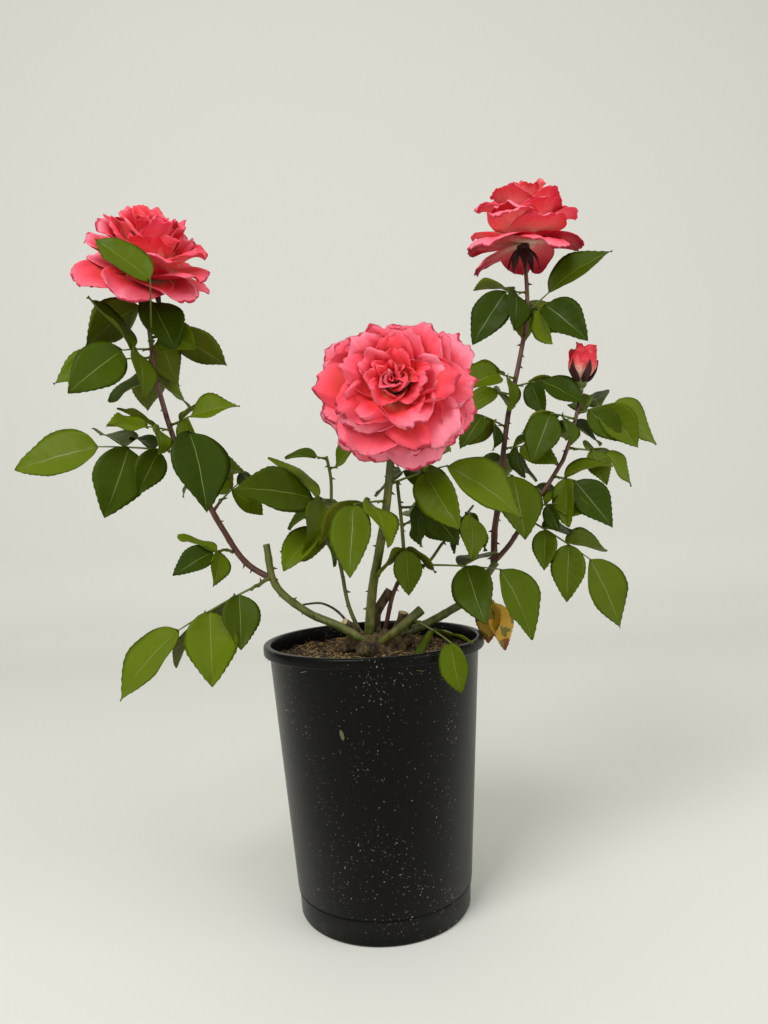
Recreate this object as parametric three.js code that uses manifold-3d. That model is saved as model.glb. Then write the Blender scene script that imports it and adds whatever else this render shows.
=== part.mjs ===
import * as THREE from 'three';
import { mergeVertices } from 'three/addons/utils/BufferGeometryUtils.js';
import Module from 'manifold-3d';

// A bush rose with three open blooms and a bud, growing in a deep moulded pot.
// Lengths are in millimetres and angles in degrees. +X is to the right, +Y is away from
// the front of the plant and +Z is up, from the middle of the pot's flat underside.

// Pot
const POT_HEIGHT = 240;
const POT_SEGMENTS = 32;
const RIM_RADIUS = 100;
const RIM_BAND = 9;
const RIM_WIDTH = 6.5;
const WALL_TOP_RADIUS = 94.7;
const WALL_FOOT_RADIUS = 78.5;
const FOOT_RADIUS = 76.5;
const FOOT_HEIGHT = 22;
const WALL_THICKNESS = 1.8;
const FLOOR_THICKNESS = 2.5;

// Compost
const COMPOST_LEVEL = 226;
const COMPOST_RING = 62;
const COMPOST_SEAT_RADIUS = 36;
const COMPOST_ROUGHNESS = 2;

// Clearance between one piece and the next
const CLEARANCE = 0.3;
const SEAT_GAP = 0.35;

// Leaves
const LEAFLET_STATIONS = [0, 0.16, 0.56, 1];
const LEAFLET_SIDES = 4;
const LEAFLET_WIDTH = 0.64;
const LEAFLET_THICKNESS = 0.024;
const TIP_ROOT_RADIUS = 1.4;
const PAIR_ROOT_RADIUS = 0.6;
const LEAFLET_FOLD = [8, 24];
const LEAFLET_CURL = [8, 32];
const LEAFLET_STRAY = 0.08;
const PAIR_STEPS = [0.42, 0.36];
const PAIR_SPREAD = 68;
const PAIR_STAGGER = 1.6;
const PAIR_TILT = 24;
const PAIR_SIZES = [0.86, 0.64];
const STALK_SAG = 0.08;
const STALK_SIDES = 3;
const STALK_RINGS = 1;
const STALK_RADII = [1.3, 0.7];

const STEM_SIDES = 5;
const STEM_RINGS = 3;

// Blooms. Each ring of petals is one shell with a lobed lip. From the outside in, a ring says
// how many lobes it has, how long they are, how far they lean out at foot and lip, how far up
// the axis they start, and how deep the notches between them are.
const PETAL_RINGS = [
  { lobes: 5, length: 62, foot: 86, lip: 116, lift: 3, notch: 0.2 },
  { lobes: 5, length: 64, foot: 78, lip: 62, lift: 5, notch: 0.14 },
  { lobes: 4, length: 64, foot: 62, lip: 28, lift: 8, notch: 0.12 },
  { lobes: 3, length: 58, foot: 38, lip: 4, lift: 12, notch: 0.1 },
];
const PETAL_THICKNESS = 1.4;
const PETAL_ROOT_RADIUS = 5;
const PETAL_STEPS = 3;
const PETAL_ROWS = 6;
const PETAL_OVERLAP = 5;
const PETAL_STRAY = 0.05;
const HEART_RADIUS = 9;
const HEART_HEIGHT = 17;
const SEPAL_OPENING = 115;
const HIP_RADIUS = 6.5;
const HIP_LENGTH = 12;
const SEPALS = 5;
const SEPAL = { length: 28, width: 9, fold: 10, curl: 40, root: 1.5 };

const UP = new THREE.Vector3(0, 0, 1);
const { degToRad } = THREE.MathUtils;

const plastic = new THREE.MeshStandardMaterial({ color: 0x202226, roughness: 0.45 });
const compost = new THREE.MeshStandardMaterial({ color: 0x4d3826, roughness: 0.95 });
const oldBark = new THREE.MeshStandardMaterial({ color: 0x76603f, roughness: 0.85 });
const greenBark = new THREE.MeshStandardMaterial({ color: 0x6c8144, roughness: 0.6 });
const redBark = new THREE.MeshStandardMaterial({ color: 0x6e3d30, roughness: 0.55 });
const leafGreen = new THREE.MeshStandardMaterial({ color: 0x35602b, roughness: 0.45 });
const leafYellow = new THREE.MeshStandardMaterial({ color: 0xc79a2e, roughness: 0.6 });
const petalPink = new THREE.MeshStandardMaterial({ color: 0xe8475f, roughness: 0.6 });

const wasm = await Module();
wasm.setup();

const rose = new THREE.Group();

// Everything that is already placed, grown by the clearance.
let taken = null;

// Solid geometry

function withoutSlivers(index) {
  const kept = [];
  for (let i = 0; i < index.length; i += 3) {
    const [a, b, c] = index.slice(i, i + 3);
    if (a !== b && b !== c && c !== a) kept.push(a, b, c);
  }
  return kept;
}

function solid(geometry) {
  geometry.deleteAttribute('normal');
  geometry.deleteAttribute('uv');
  const merged = mergeVertices(geometry, 1e-4);
  return new wasm.Manifold(new wasm.Mesh({
    numProp: 3,
    vertProperties: new Float32Array(merged.getAttribute('position').array),
    triVerts: new Uint32Array(withoutSlivers(Array.from(merged.index.array))),
  }));
}

function joined(solids) {
  return solids.reduce((whole, piece) => whole.add(piece));
}

// The outer skin of the largest body: scraps fall away and sealed hollows fill up.
function mainBody(whole) {
  const bodies = whole.decompose();
  return bodies.reduce((best, body) => (body.volume() > best.volume() ? body : best));
}

function geometryOf(body) {
  const mesh = body.getMesh();
  const geometry = new THREE.BufferGeometry();
  geometry.setAttribute('position', new THREE.BufferAttribute(mesh.vertProperties, 3));
  geometry.setIndex(new THREE.BufferAttribute(mesh.triVerts, 1));
  geometry.computeVertexNormals();
  return geometry;
}

function touches(piece) {
  return taken !== null && !piece.intersect(taken).isEmpty();
}

// Cuts a piece clear of everything before it and gives it its own named mesh.
function place(name, makeSolid, material) {
  const whole = taken === null ? makeSolid(0) : makeSolid(0).subtract(taken);
  const mesh = new THREE.Mesh(geometryOf(mainBody(whole)), material);
  mesh.name = name;
  rose.add(mesh);
  const grown = makeSolid(CLEARANCE);
  taken = taken === null ? grown : taken.add(grown);
}

function shaped(geometry, placeVertex) {
  const position = geometry.getAttribute('position');
  const vertex = new THREE.Vector3();
  for (let i = 0; i < position.count; i += 1) {
    vertex.fromBufferAttribute(position, i);
    const moved = placeVertex(vertex);
    position.setXYZ(i, moved.x, moved.y, moved.z);
  }
  return geometry;
}

// Small helpers for growth

function randomSource(seed) {
  const range = 4294967296;
  let state = seed;
  return (low, high) => {
    state = (state * 1664525 + 1013904223) % range;
    return low + (high - low) * (state / range);
  };
}

function bearing(heading, rise) {
  const flat = Math.cos(degToRad(rise));
  return new THREE.Vector3(
    flat * Math.cos(degToRad(heading)),
    flat * Math.sin(degToRad(heading)),
    Math.sin(degToRad(rise)),
  );
}

function curveThrough(points) {
  const vectors = points.map((point) => new THREE.Vector3(...point));
  return new THREE.CatmullRomCurve3(vectors, false, 'catmullrom', 0.5);
}

function away(start, ...steps) {
  const point = start.clone();
  for (const [direction, distance] of steps) point.addScaledVector(direction, distance);
  return point;
}

// A tapered round limb along a curve, with flat ends.
function limb(curve, radii, sides, rings, extra = 0) {
  const frames = curve.computeFrenetFrames(rings, false);
  const cylinder = new THREE.CylinderGeometry(1, 1, 1, sides, rings);
  return solid(shaped(cylinder, ({ x, y, z }) => {
    const share = y + 0.5;
    const ring = Math.round(share * rings);
    const radius = THREE.MathUtils.lerp(radii[0], radii[1], share) + extra;
    const beyond = (ring === rings ? extra : 0) - (ring === 0 ? extra : 0);
    return away(
      curve.getPointAt(share),
      [frames.normals[ring], radius * x],
      [frames.binormals[ring], -radius * z],
      [frames.tangents[ring], beyond],
    );
  }));
}

// Pot and compost

function potWallRadius(height) {
  const share = (height - FOOT_HEIGHT) / (POT_HEIGHT - RIM_BAND - FOOT_HEIGHT);
  return THREE.MathUtils.lerp(WALL_FOOT_RADIUS, WALL_TOP_RADIUS, share);
}

function lathe(profile, extra = 0) {
  const points = profile.map(([radius, height]) => new THREE.Vector2(
    radius === 0 ? 0 : radius + extra,
    height,
  ));
  const turned = new THREE.LatheGeometry(points, POT_SEGMENTS);
  turned.rotateX(Math.PI / 2);
  return turned;
}

function pot(extra) {
  const inside = (height) => potWallRadius(height) - WALL_THICKNESS - 2 * extra;
  const rimFoot = POT_HEIGHT - RIM_BAND;
  return solid(lathe([
    [0, 0],
    [FOOT_RADIUS, 0],
    [FOOT_RADIUS, FOOT_HEIGHT],
    [WALL_FOOT_RADIUS, FOOT_HEIGHT],
    [potWallRadius(rimFoot), rimFoot],
    [RIM_RADIUS, rimFoot],
    [RIM_RADIUS, POT_HEIGHT + extra],
    [RIM_RADIUS - RIM_WIDTH - extra, POT_HEIGHT + extra],
    [inside(rimFoot), rimFoot],
    [inside(FLOOR_THICKNESS), FLOOR_THICKNESS + extra],
    [0, FLOOR_THICKNESS + extra],
  ], extra));
}

function compostFill(extra) {
  const random = randomSource(11);
  const edge = (height) => potWallRadius(height) - WALL_THICKNESS - SEAT_GAP;
  const floor = FLOOR_THICKNESS + SEAT_GAP;
  const top = COMPOST_LEVEL + extra;
  const fill = lathe([
    [0, floor],
    [edge(floor), floor],
    [edge(top), top],
    [COMPOST_RING, top],
    [COMPOST_SEAT_RADIUS, top],
    [0, top],
  ]);
  const heights = new Map();
  return solid(shaped(fill, (vertex) => {
    const radius = Math.hypot(vertex.x, vertex.y);
    if (Math.abs(radius - COMPOST_RING) > 1) return vertex;
    const spot = `${Math.round(vertex.x)},${Math.round(vertex.y)}`;
    if (!heights.has(spot)) heights.set(spot, random(-1, 1) * COMPOST_ROUGHNESS);
    return away(vertex, [UP, heights.get(spot)]);
  }));
}

// The knobbly union at the foot of the canes, flared on to the compost from a flat cut.
const UNION_FOOT = COMPOST_LEVEL + SEAT_GAP;
const UNION_FLARE = [[0, 25], [3, 20], [8, 17], [14, 14], [19, 9]];
const UNION_HEIGHT = 19;
const UNION_KNOBS = [
  { centre: [-19, -6, 238], radius: 9 },
  { centre: [-4, -8, 236], radius: 10 },
  { centre: [18, 0, 237], radius: 9 },
  { centre: [31, 3, 237], radius: 7.5 },
];

function budUnion(extra) {
  const profile = UNION_FLARE.map(([height, radius]) => new THREE.Vector2(radius + extra, height));
  const closed = [new THREE.Vector2(0, 0), ...profile, new THREE.Vector2(0, UNION_HEIGHT + extra)];
  const flare = new THREE.LatheGeometry(closed, 10);
  flare.rotateX(Math.PI / 2);
  flare.translate(2, -2, UNION_FOOT);
  const knobs = UNION_KNOBS.map(({ centre, radius }) => {
    const knob = new THREE.SphereGeometry(radius + extra, 6, 4);
    knob.translate(...centre);
    return solid(knob);
  });
  return joined([solid(flare), ...knobs]);
}

// Limbs: canes from the union, shoots from the canes, stubs where old canes were cut off.
const LIMBS = [
  { name: 'front_stub', points: [[-8, -6, 240], [-17, -13, 250], [-25, -20, 258]],
    radii: [4.2, 3.7], sides: 7, rings: 2, bark: oldBark },
  { name: 'middle_stub', points: [[2, 2, 244], [4, 6, 262], [17, 10, 281]],
    radii: [4.6, 4.2], sides: 7, rings: 2, bark: oldBark },
  { name: 'right_stub', points: [[18, 0, 240], [25, -4, 252], [28, -6, 262]],
    radii: [5, 4.4], sides: 7, rings: 2, bark: oldBark },
  { name: 'outer_stub', points: [[6, -14, 237], [20, -18, 247], [33, -14, 256], [44, -10, 264]],
    radii: [3.4, 4.6], sides: 7, rings: 3, bark: oldBark },
  { name: 'left_cane', points: [[-3, -14, 236], [-12, -25, 244], [-30, -22, 255], [-58, -17, 268], [-85, -16, 293], [-92, -14, 330]],
    radii: [3.8, 3.1], sides: 7, rings: 7, bark: greenBark },
  { name: 'left_shoot', points: [[-84, -16, 296], [-112, -12, 315], [-132, -10, 347], [-145, -8, 372]],
    radii: [2.8, 2.5], sides: 6, rings: 4, bark: redBark },
  { name: 'centre_cane', points: [[-4, -4, 244], [1, -8, 284], [7, -20, 311], [13, -36, 338]],
    radii: [4.5, 3.9], sides: 7, rings: 4, bark: greenBark },
  { name: 'right_cane', points: [[18, 2, 240], [43, 14, 245], [72, 24, 257], [95, 30, 270], [120, 36, 300]],
    radii: [4.1, 3.5], sides: 7, rings: 6, bark: greenBark },
  { name: 'right_shoot', points: [[118, 36, 296], [122, 46, 331], [129, 52, 360]],
    radii: [3.4, 2.9], sides: 6, rings: 3, bark: redBark },
  { name: 'bud_shoot', points: [[119, 36, 301], [133, 33, 316], [144, 30, 332]],
    radii: [2.6, 2.3], sides: 6, rings: 2, bark: redBark },
  { name: 'inner_left_shoot', points: [[-10, 3, 238], [-22, 10, 268], [-27, 14, 298], [-31, 14, 325]],
    radii: [2, 1.7], sides: 5, rings: 4, bark: greenBark },
  { name: 'inner_centre_shoot', points: [[9, 5, 238], [19, 7, 276], [30, 0, 298]],
    radii: [2.2, 1.9], sides: 5, rings: 3, bark: redBark },
  { name: 'side_twig', points: [[27, 2, 292], [52, 8, 304], [68, 14, 322], [84, 20, 338]],
    radii: [1.6, 1.3], sides: 5, rings: 3, bark: greenBark },
  { name: 'dry_twig', points: [[-16, 0, 242], [-30, 4, 262], [-46, 6, 272], [-64, 6, 272]],
    radii: [1.4, 0.9], sides: 5, rings: 4, bark: oldBark },
];

function placeLimb(spec) {
  const curve = curveThrough(spec.points);
  const makeSolid = (extra) => limb(curve, spec.radii, spec.sides, spec.rings, extra);
  place(spec.name, makeSolid, spec.bark);
}

// Leaves

function leafletOutline(share) {
  return Math.sin(Math.PI * share ** 0.85) ** 0.8;
}

// One leaflet: a folded, drooping blade, thickest at its midrib and sharp at its edges.
function leaflet({ base, axis, normal, length, width, fold, curl, root }, extra = 0) {
  const side = axis.clone().cross(normal);
  const bend = degToRad(curl);
  const lift = degToRad(fold);
  const last = LEAFLET_STATIONS.length - 1;
  const blade = new THREE.CylinderGeometry(1, 1, 1, LEAFLET_SIDES, last);
  return solid(shaped(blade, ({ x, y, z }) => {
    const station = Math.round((y + 0.5) * last);
    const share = LEAFLET_STATIONS[station];
    const turn = bend * share;
    const spineNormal = away(new THREE.Vector3(), [normal, Math.cos(turn)], [axis, Math.sin(turn)]);
    const half = station === 0 ? root : 0.5 * width * leafletOutline(share);
    const across = station === last ? 0 : Math.round(x) * (half + extra);
    const skin = station === 0 ? root : 0.5 * LEAFLET_THICKNESS * length;
    const thick = station === last ? 0 : Math.round(z) * (skin + extra);
    return away(
      base,
      [axis, (length * Math.sin(turn)) / bend],
      [normal, -(length * (1 - Math.cos(turn))) / bend],
      [side, across * Math.cos(lift)],
      [spineNormal, Math.abs(across) * Math.sin(lift) + thick],
    );
  }));
}

// The frame of a leaf at one point of its stalk: along it, to its side and off its face.
function leafFrame(stalk, share, twist) {
  const along = stalk.getTangent(share);
  const side = along.clone().cross(UP).normalize();
  const face = side.clone().cross(along);
  const front = side.y < 0 ? 1 : -1;
  face.multiplyScalar(Math.cos(degToRad(twist)));
  face.addScaledVector(side, front * Math.sin(degToRad(twist))).normalize();
  return { along, face, side: along.clone().cross(face) };
}

function leafletSpec(base, direction, face, length, hang, root, random) {
  const axis = away(direction, [UP, -Math.tan(degToRad(hang))]);
  axis.x += random(-LEAFLET_STRAY, LEAFLET_STRAY);
  axis.y += random(-LEAFLET_STRAY, LEAFLET_STRAY);
  axis.z += random(-LEAFLET_STRAY, LEAFLET_STRAY);
  axis.normalize();
  const normal = away(face, [axis, -face.dot(axis)]).normalize();
  const size = length * random(0.94, 1.06);
  const width = size * LEAFLET_WIDTH * random(0.92, 1.1);
  const fold = random(...LEAFLET_FOLD);
  const curl = random(...LEAFLET_CURL);
  return { base, axis, normal, length: size, width, fold, curl, root };
}

// A leaf grows from one point of its stem: a sagging stalk with its leaflets in pairs and
// one more at its end.
function growLeaf(node, leaf, random) {
  const aim = bearing(leaf.heading, leaf.rise);
  const stalk = new THREE.QuadraticBezierCurve3(
    node,
    away(node, [aim, leaf.stalk / 2]),
    away(node, [aim, leaf.stalk], [UP, -leaf.stalk * STALK_SAG]),
  );
  const blades = [];
  const tip = leafFrame(stalk, 1, leaf.twist);
  const ahead = tip.along.clone().applyAxisAngle(UP, degToRad(leaf.turn));
  const tipFace = tip.face.clone().applyAxisAngle(UP, degToRad(leaf.turn));
  const end = away(stalk.getPoint(1), [tip.along, -TIP_ROOT_RADIUS]);
  blades.push(leafletSpec(end, ahead, tipFace, leaf.size, leaf.hang, TIP_ROOT_RADIUS, random));
  const pairs = (leaf.leaflets - 1) / 2;
  for (let pair = 0; pair < pairs; pair += 1) {
    const share = 1 - PAIR_STEPS[pairs - 1] * (pair + 1);
    const frame = leafFrame(stalk, share, leaf.twist);
    const tilt = degToRad(PAIR_TILT);
    const face = away(new THREE.Vector3(), [frame.face, Math.cos(tilt)], [frame.along, -Math.sin(tilt)]);
    for (const side of [-1, 1]) {
      const direction = away(
        new THREE.Vector3(),
        [frame.along, Math.cos(degToRad(PAIR_SPREAD))],
        [frame.side, side * Math.sin(degToRad(PAIR_SPREAD))],
      );
      const length = leaf.size * PAIR_SIZES[pair];
      const base = stalk.getPoint(share + (side * PAIR_STAGGER) / leaf.stalk);
      blades.push(
        leafletSpec(base, direction, face, length, leaf.pairHang, PAIR_ROOT_RADIUS, random),
      );
    }
  }
  return { stalk, blades };
}

// leaf(place along the stem, heading, rise, stalk, leaflets, size, hang, twist, hang of the
// pairs, turn of the end leaflet)
function leaf(at, heading, rise, stalk, leaflets, size, hang, twist, pairHang = hang, turn = 0) {
  return { at, heading, rise, stalk, leaflets, size, hang, twist, pairHang, turn };
}

const FOLIAGE = [
  { name: 'left_fork_leaf', seed: 101, radii: [2, 1.6],
    points: [[-89, -17, 300], [-94, -22, 298], [-99, -28, 294]],
    leaves: [leaf(0.8, 207, -20, 78, 5, 74, 14, 25, 48)] },
  { name: 'left_low_leaf', seed: 102, radii: [1.5, 1.3],
    points: [[-123, -11, 324], [-125, -16, 326], [-127, -21, 327]],
    leaves: [leaf(0.8, 226, 2, 16, 3, 42, 16, 50)] },
  { name: 'left_inner_leaf', seed: 103, radii: [1.5, 1.3],
    points: [[-138, -9, 363], [-136, -5, 367], [-134, 0, 371]],
    leaves: [leaf(0.8, 60, 37, 34, 3, 44, 20, 45)] },
  { name: 'side_leaf', seed: 110, radii: [1.5, 1.3],
    points: [[31, -3, 300], [36, -6, 303], [42, -9, 305]],
    leaves: [leaf(0.8, 348, 0, 78, 3, 68, 55, 30, 12)] },
  { name: 'yellow_leaf', seed: 111, radii: [1.4, 1.2], colour: leafYellow,
    points: [[95, 30, 270], [99, 26, 272], [104, 22, 271]],
    leaves: [leaf(0.8, 322, -25, 16, 3, 44, 65, 20)] },
  { name: 'low_leaf', seed: 112, radii: [1.5, 1.3],
    points: [[33, 2, 246], [35, -6, 252], [38, -16, 256]],
    leaves: [leaf(0.8, 288, 0, 84, 3, 40, 72, 20, 20)] },
  { name: 'left_middle_foliage', seed: 104, radii: [2.6, 2.4],
    points: [[-145, -8, 372], [-159, -6, 398], [-171, -4, 424], [-179, -2, 449]],
    leaves: [
      leaf(0.6, 193, 10, 72, 5, 74, 8, 60, 30),
      leaf(0.72, 305, 12, 40, 1, 78, 58, 0),
      leaf(0.85, 240, 8, 30, 3, 44, 0, 40, 10),
      leaf(0.9, 345, 24, 24, 3, 46, 0, 50, 20),
      leaf(0.35, 80, 20, 46, 3, 54, 25, -20),
    ] },
  { name: 'left_upper_foliage', seed: 105, radii: [2.4, 2],
    points: [[-179, -2, 449], [-188, 1, 487], [-192, 3, 525], [-195, 5, 562]],
    leaves: [
      leaf(0.57, 240, -6, 36, 3, 64, 25, 60, -10),
      leaf(0.5, 205, 0, 26, 1, 66, 10, 50),
      leaf(0.66, 32, 22, 20, 3, 62, 24, -30, 40),
      leaf(0.95, 186, -12, 8, 1, 66, 8, -38),
      leaf(0.6, 288, 28, 92, 1, 62, -30, -50, 0, -108),
      leaf(0.97, 318, -14, 8, 1, 58, 36, 20),
      leaf(0.3, 115, 20, 48, 3, 54, 25, 0),
    ] },
  { name: 'centre_foliage', seed: 106, radii: [3.8, 3.2],
    points: [[13, -36, 338], [18, -48, 364], [22, -57, 393], [26, -62, 425]],
    leaves: [
      leaf(0.3, 228, 2, 42, 3, 62, 58, 0, 30, 34),
      leaf(0.46, 349, 19, 54, 3, 78, 36, 40, 20),
      leaf(0.5, 60, 20, 45, 3, 54, 25, 0),
    ] },
  { name: 'inner_left_foliage', seed: 107, radii: [1.7, 1.4],
    points: [[-31, 14, 325], [-34, 13, 355], [-33, 10, 386], [-36, 8, 408]],
    leaves: [
      leaf(0.16, 232, 8, 26, 3, 50, 28, 20),
      leaf(0.5, 222, 12, 24, 3, 76, -8, 60, 10),
      leaf(0.85, 318, 15, 10, 1, 42, -30, 60),
      leaf(0.96, 200, 20, 12, 1, 30, 0, 40),
      leaf(0.4, 110, 15, 42, 3, 54, 25, 0),
    ] },
  { name: 'right_lower_foliage', seed: 113, radii: [2.9, 2.7],
    points: [[129, 52, 360], [132, 58, 382], [139, 63, 420], [144, 66, 445]],
    leaves: [
      leaf(0.3, 282, 0, 32, 1, 64, 58, 0),
      leaf(0.85, 214, 24, 35, 3, 44, 50, 30),
      leaf(0.6, 305, 5, 26, 3, 42, 20, 60),
      leaf(0.45, 80, 15, 48, 3, 56, 25, 0),
    ] },
  { name: 'inner_centre_foliage', seed: 108, radii: [1.9, 1.5],
    points: [[30, 0, 298], [31, -4, 317], [30, -4, 349], [28, -4, 382]],
    leaves: [
      leaf(0.24, 275, 9, 22, 3, 40, 70, 0, 30),
      leaf(0.5, 34, 27, 38, 3, 46, 25, 40),
      leaf(0.7, 325, 5, 30, 3, 48, 40, 40),
    ] },
  { name: 'centre_right_foliage', seed: 109, radii: [1.3, 1.1],
    points: [[84, 20, 338], [92, 23, 347], [100, 26, 356]],
    leaves: [
      leaf(0.6, 270, 0, 26, 3, 46, 50, 20),
    ] },
  { name: 'right_middle_foliage', seed: 114, radii: [2.7, 2.4],
    points: [[144, 66, 445], [151, 70, 470], [159, 73, 499], [166, 76, 527]],
    leaves: [
      leaf(0.45, 225, 9, 30, 3, 52, 16, 50),
      leaf(0.35, 330, 10, 30, 3, 50, 30, 40),
      leaf(0.25, 120, 20, 46, 3, 54, 25, 0),
    ] },
  { name: 'right_upper_foliage', seed: 115, radii: [2.4, 2.1],
    points: [[166, 76, 527], [171, 79, 555], [172, 81, 580], [172, 83, 600]],
    leaves: [
      leaf(0.3, 326, 38, 32, 1, 68, -4, 60),
      leaf(0.22, 312, 26, 28, 3, 58, 50, 40, 40),
      leaf(0.6, 200, 3, 26, 3, 62, 48, 50, 20),
      leaf(0.45, 80, 20, 44, 3, 54, 25, 0),
    ] },
  { name: 'bud_lower_foliage', seed: 116, radii: [2.3, 2.1],
    points: [[144, 30, 332], [160, 27, 356], [175, 29, 376], [189, 34, 395]],
    leaves: [
      leaf(0.14, 346, -32, 68, 5, 68, 40, 45, 20),
      leaf(0.3, 325, 10, 24, 3, 36, 10, 60),
      leaf(0.75, 316, -8, 24, 3, 58, 38, 45, 10),
      leaf(0.5, 90, 15, 44, 3, 52, 25, 0),
    ] },
  { name: 'bud_upper_foliage', seed: 117, radii: [2.1, 1.9],
    points: [[189, 34, 395], [200, 40, 419], [209, 46, 446], [214, 50, 462]],
    leaves: [
      leaf(0.18, 10, -4, 40, 3, 46, 30, 50),
      leaf(0.68, 13, 18, 44, 5, 66, 40, 50, 20),
      leaf(0.6, 215, 12, 37, 3, 50, 60, 20, 30),
      leaf(0.45, 80, 20, 42, 3, 50, 25, 0),
    ] },
];

// The solids of one mass: its stem, and each leaf that keeps to its own space.
function foliageSolids(spec) {
  const curve = curveThrough(spec.points);
  const random = randomSource(spec.seed);
  const makers = [(extra) => limb(curve, spec.radii, STEM_SIDES, STEM_RINGS, extra)];
  for (const leafPlan of spec.leaves) {
    const grown = growLeaf(curve.getPointAt(leafPlan.at), leafPlan, random);
    const stalk = (extra) => limb(grown.stalk, STALK_RADII, STALK_SIDES, STALK_RINGS, extra);
    if (touches(stalk(CLEARANCE))) continue;
    makers.push(stalk);
    for (const blade of grown.blades) {
      if (!touches(leaflet(blade, CLEARANCE))) makers.push((extra) => leaflet(blade, extra));
    }
  }
  return makers;
}

function placeFoliage(spec) {
  const makers = foliageSolids(spec);
  const makeSolid = (extra) => joined(makers.map((maker) => maker(extra)));
  place(spec.name, makeSolid, spec.colour ?? leafGreen);
}

// Blooms

function bloomFrame(heading, rise) {
  const axis = bearing(heading, rise);
  const right = axis.clone().cross(UP).normalize();
  return { axis, right, up: right.clone().cross(axis) };
}

// One ring of petals: a lobed shell that leans out along an arc. Each lobe starts inside the
// one before it and ends outside the next, as overlapping petals do.
function petalRing(frame, centre, ring, start, random, extra = 0) {
  const foot = degToRad(ring.foot);
  const opening = degToRad(ring.lip) - foot;
  const steps = ring.lobes * PETAL_STEPS;
  const stray = Array.from({ length: steps }, () => random(1 - PETAL_STRAY, 1 + PETAL_STRAY));
  const shell = new THREE.TorusGeometry(2, 1, PETAL_ROWS, steps);
  return solid(shaped(shell, ({ x, y, z }) => {
    const turn = Math.atan2(y, x);
    const around = Math.atan2(z, Math.hypot(x, y) - 2) / Math.PI;
    const share = 1 - Math.abs(around);
    const step = Math.round(((turn / (2 * Math.PI) + 1) % 1) * steps) % steps;
    const across = (step % PETAL_STEPS) / (PETAL_STEPS - 1) - 0.5;
    const notch = 1 - ring.notch * share * (2 * Math.abs(across)) ** 2;
    const length = ring.length * notch * stray[step];
    const lean = foot + opening * share;
    const reach = (length * (Math.cos(foot) - Math.cos(lean))) / opening;
    const rise = (length * (Math.sin(lean) - Math.sin(foot))) / opening;
    const angle = start + turn;
    const out = away(new THREE.Vector3(), [frame.right, Math.cos(angle)], [frame.up, -Math.sin(angle)]);
    const inner = away(new THREE.Vector3(), [frame.axis, Math.sin(lean)], [out, -Math.cos(lean)]);
    const middle = share > 0.01 && share < 0.99;
    const skin = middle ? Math.sign(around) * (0.5 * PETAL_THICKNESS + extra) : 0;
    return away(
      centre,
      [out, PETAL_ROOT_RADIUS + reach],
      [frame.axis, ring.lift + rise],
      [inner, skin + PETAL_OVERLAP * across * share],
    );
  }));
}

function egg(centre, axis, radius, height, extra) {
  const ball = new THREE.SphereGeometry(1, 7, 4);
  ball.scale(radius + extra, height + extra, radius + extra);
  ball.applyQuaternion(new THREE.Quaternion().setFromUnitVectors(new THREE.Vector3(0, 1, 0), axis));
  ball.translate(...centre.toArray());
  return solid(ball);
}

// Sepals stand round the hip, opened back under a bloom or still clasping a bud.
function sepals(frame, centre, opening) {
  return Array.from({ length: SEPALS }, (unused, i) => {
    const turn = (2 * Math.PI * i) / SEPALS;
    const out = away(new THREE.Vector3(), [frame.right, Math.cos(turn)], [frame.up, Math.sin(turn)]);
    const lean = degToRad(opening);
    const axis = away(new THREE.Vector3(), [frame.axis, Math.cos(lean)], [out, Math.sin(lean)]);
    const normal = away(new THREE.Vector3(), [frame.axis, Math.sin(lean)], [out, -Math.cos(lean)]);
    const base = away(centre, [out, 3], [frame.axis, -1]);
    return (extra) => leaflet({ ...SEPAL, base, axis, normal }, extra);
  });
}

const BLOOMS = [
  { name: 'left_bloom', seed: 201, at: [-195, 6, 573], heading: 296, rise: 54, size: 1,
    neck: [[-195, 5, 562], [-195, 6, 568], [-195, 6, 573]], radii: [2.2, 3.2] },
  { name: 'front_bloom', seed: 202, at: [31, -70, 444], heading: 264, rise: 20, size: 1.04,
    neck: [[26, -62, 425], [29, -64, 438], [31, -70, 444]], radii: [3.6, 4] },
  { name: 'right_bloom', seed: 203, at: [173, 84, 621], heading: 280, rise: 84, size: 0.98,
    neck: [[172, 83, 600], [172, 84, 610], [173, 84, 621]], radii: [2.3, 3.2] },
];

function bloomSolids(spec) {
  const frame = bloomFrame(spec.heading, spec.rise);
  const centre = new THREE.Vector3(...spec.at);
  const random = randomSource(spec.seed);
  const neck = curveThrough(spec.neck);
  const heart = away(centre, [frame.axis, HEART_HEIGHT]);
  const makers = [
    (extra) => limb(neck, spec.radii, 6, 2, extra),
    (extra) => egg(centre, frame.axis, HIP_RADIUS, HIP_LENGTH / 2, extra),
    (extra) => egg(heart, frame.axis, HEART_RADIUS, HEART_HEIGHT, extra),
  ];
  for (const ring of PETAL_RINGS) {
    const scaled = { ...ring, length: ring.length * spec.size, lip: ring.lip + random(-6, 6) };
    const start = random(0, 2 * Math.PI);
    const seed = Math.round(random(1, 9999));
    makers.push((extra) => petalRing(frame, centre, scaled, start, randomSource(seed), extra));
  }
  return [...makers, ...sepals(frame, centre, SEPAL_OPENING)];
}

function placeBloom(spec) {
  const makers = bloomSolids(spec);
  place(spec.name, (extra) => joined(makers.map((maker) => maker(extra))), petalPink);
}

// The bud: furled petals in an egg, with its sepals still clasping it.
const BUD = {
  at: [215, 51, 472], heading: 300, rise: 80, radius: 12.5, height: 19,
  neck: [[214, 50, 462], [215, 50, 467], [215, 51, 472]], radii: [2, 2.6], opening: 38,
};

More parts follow.
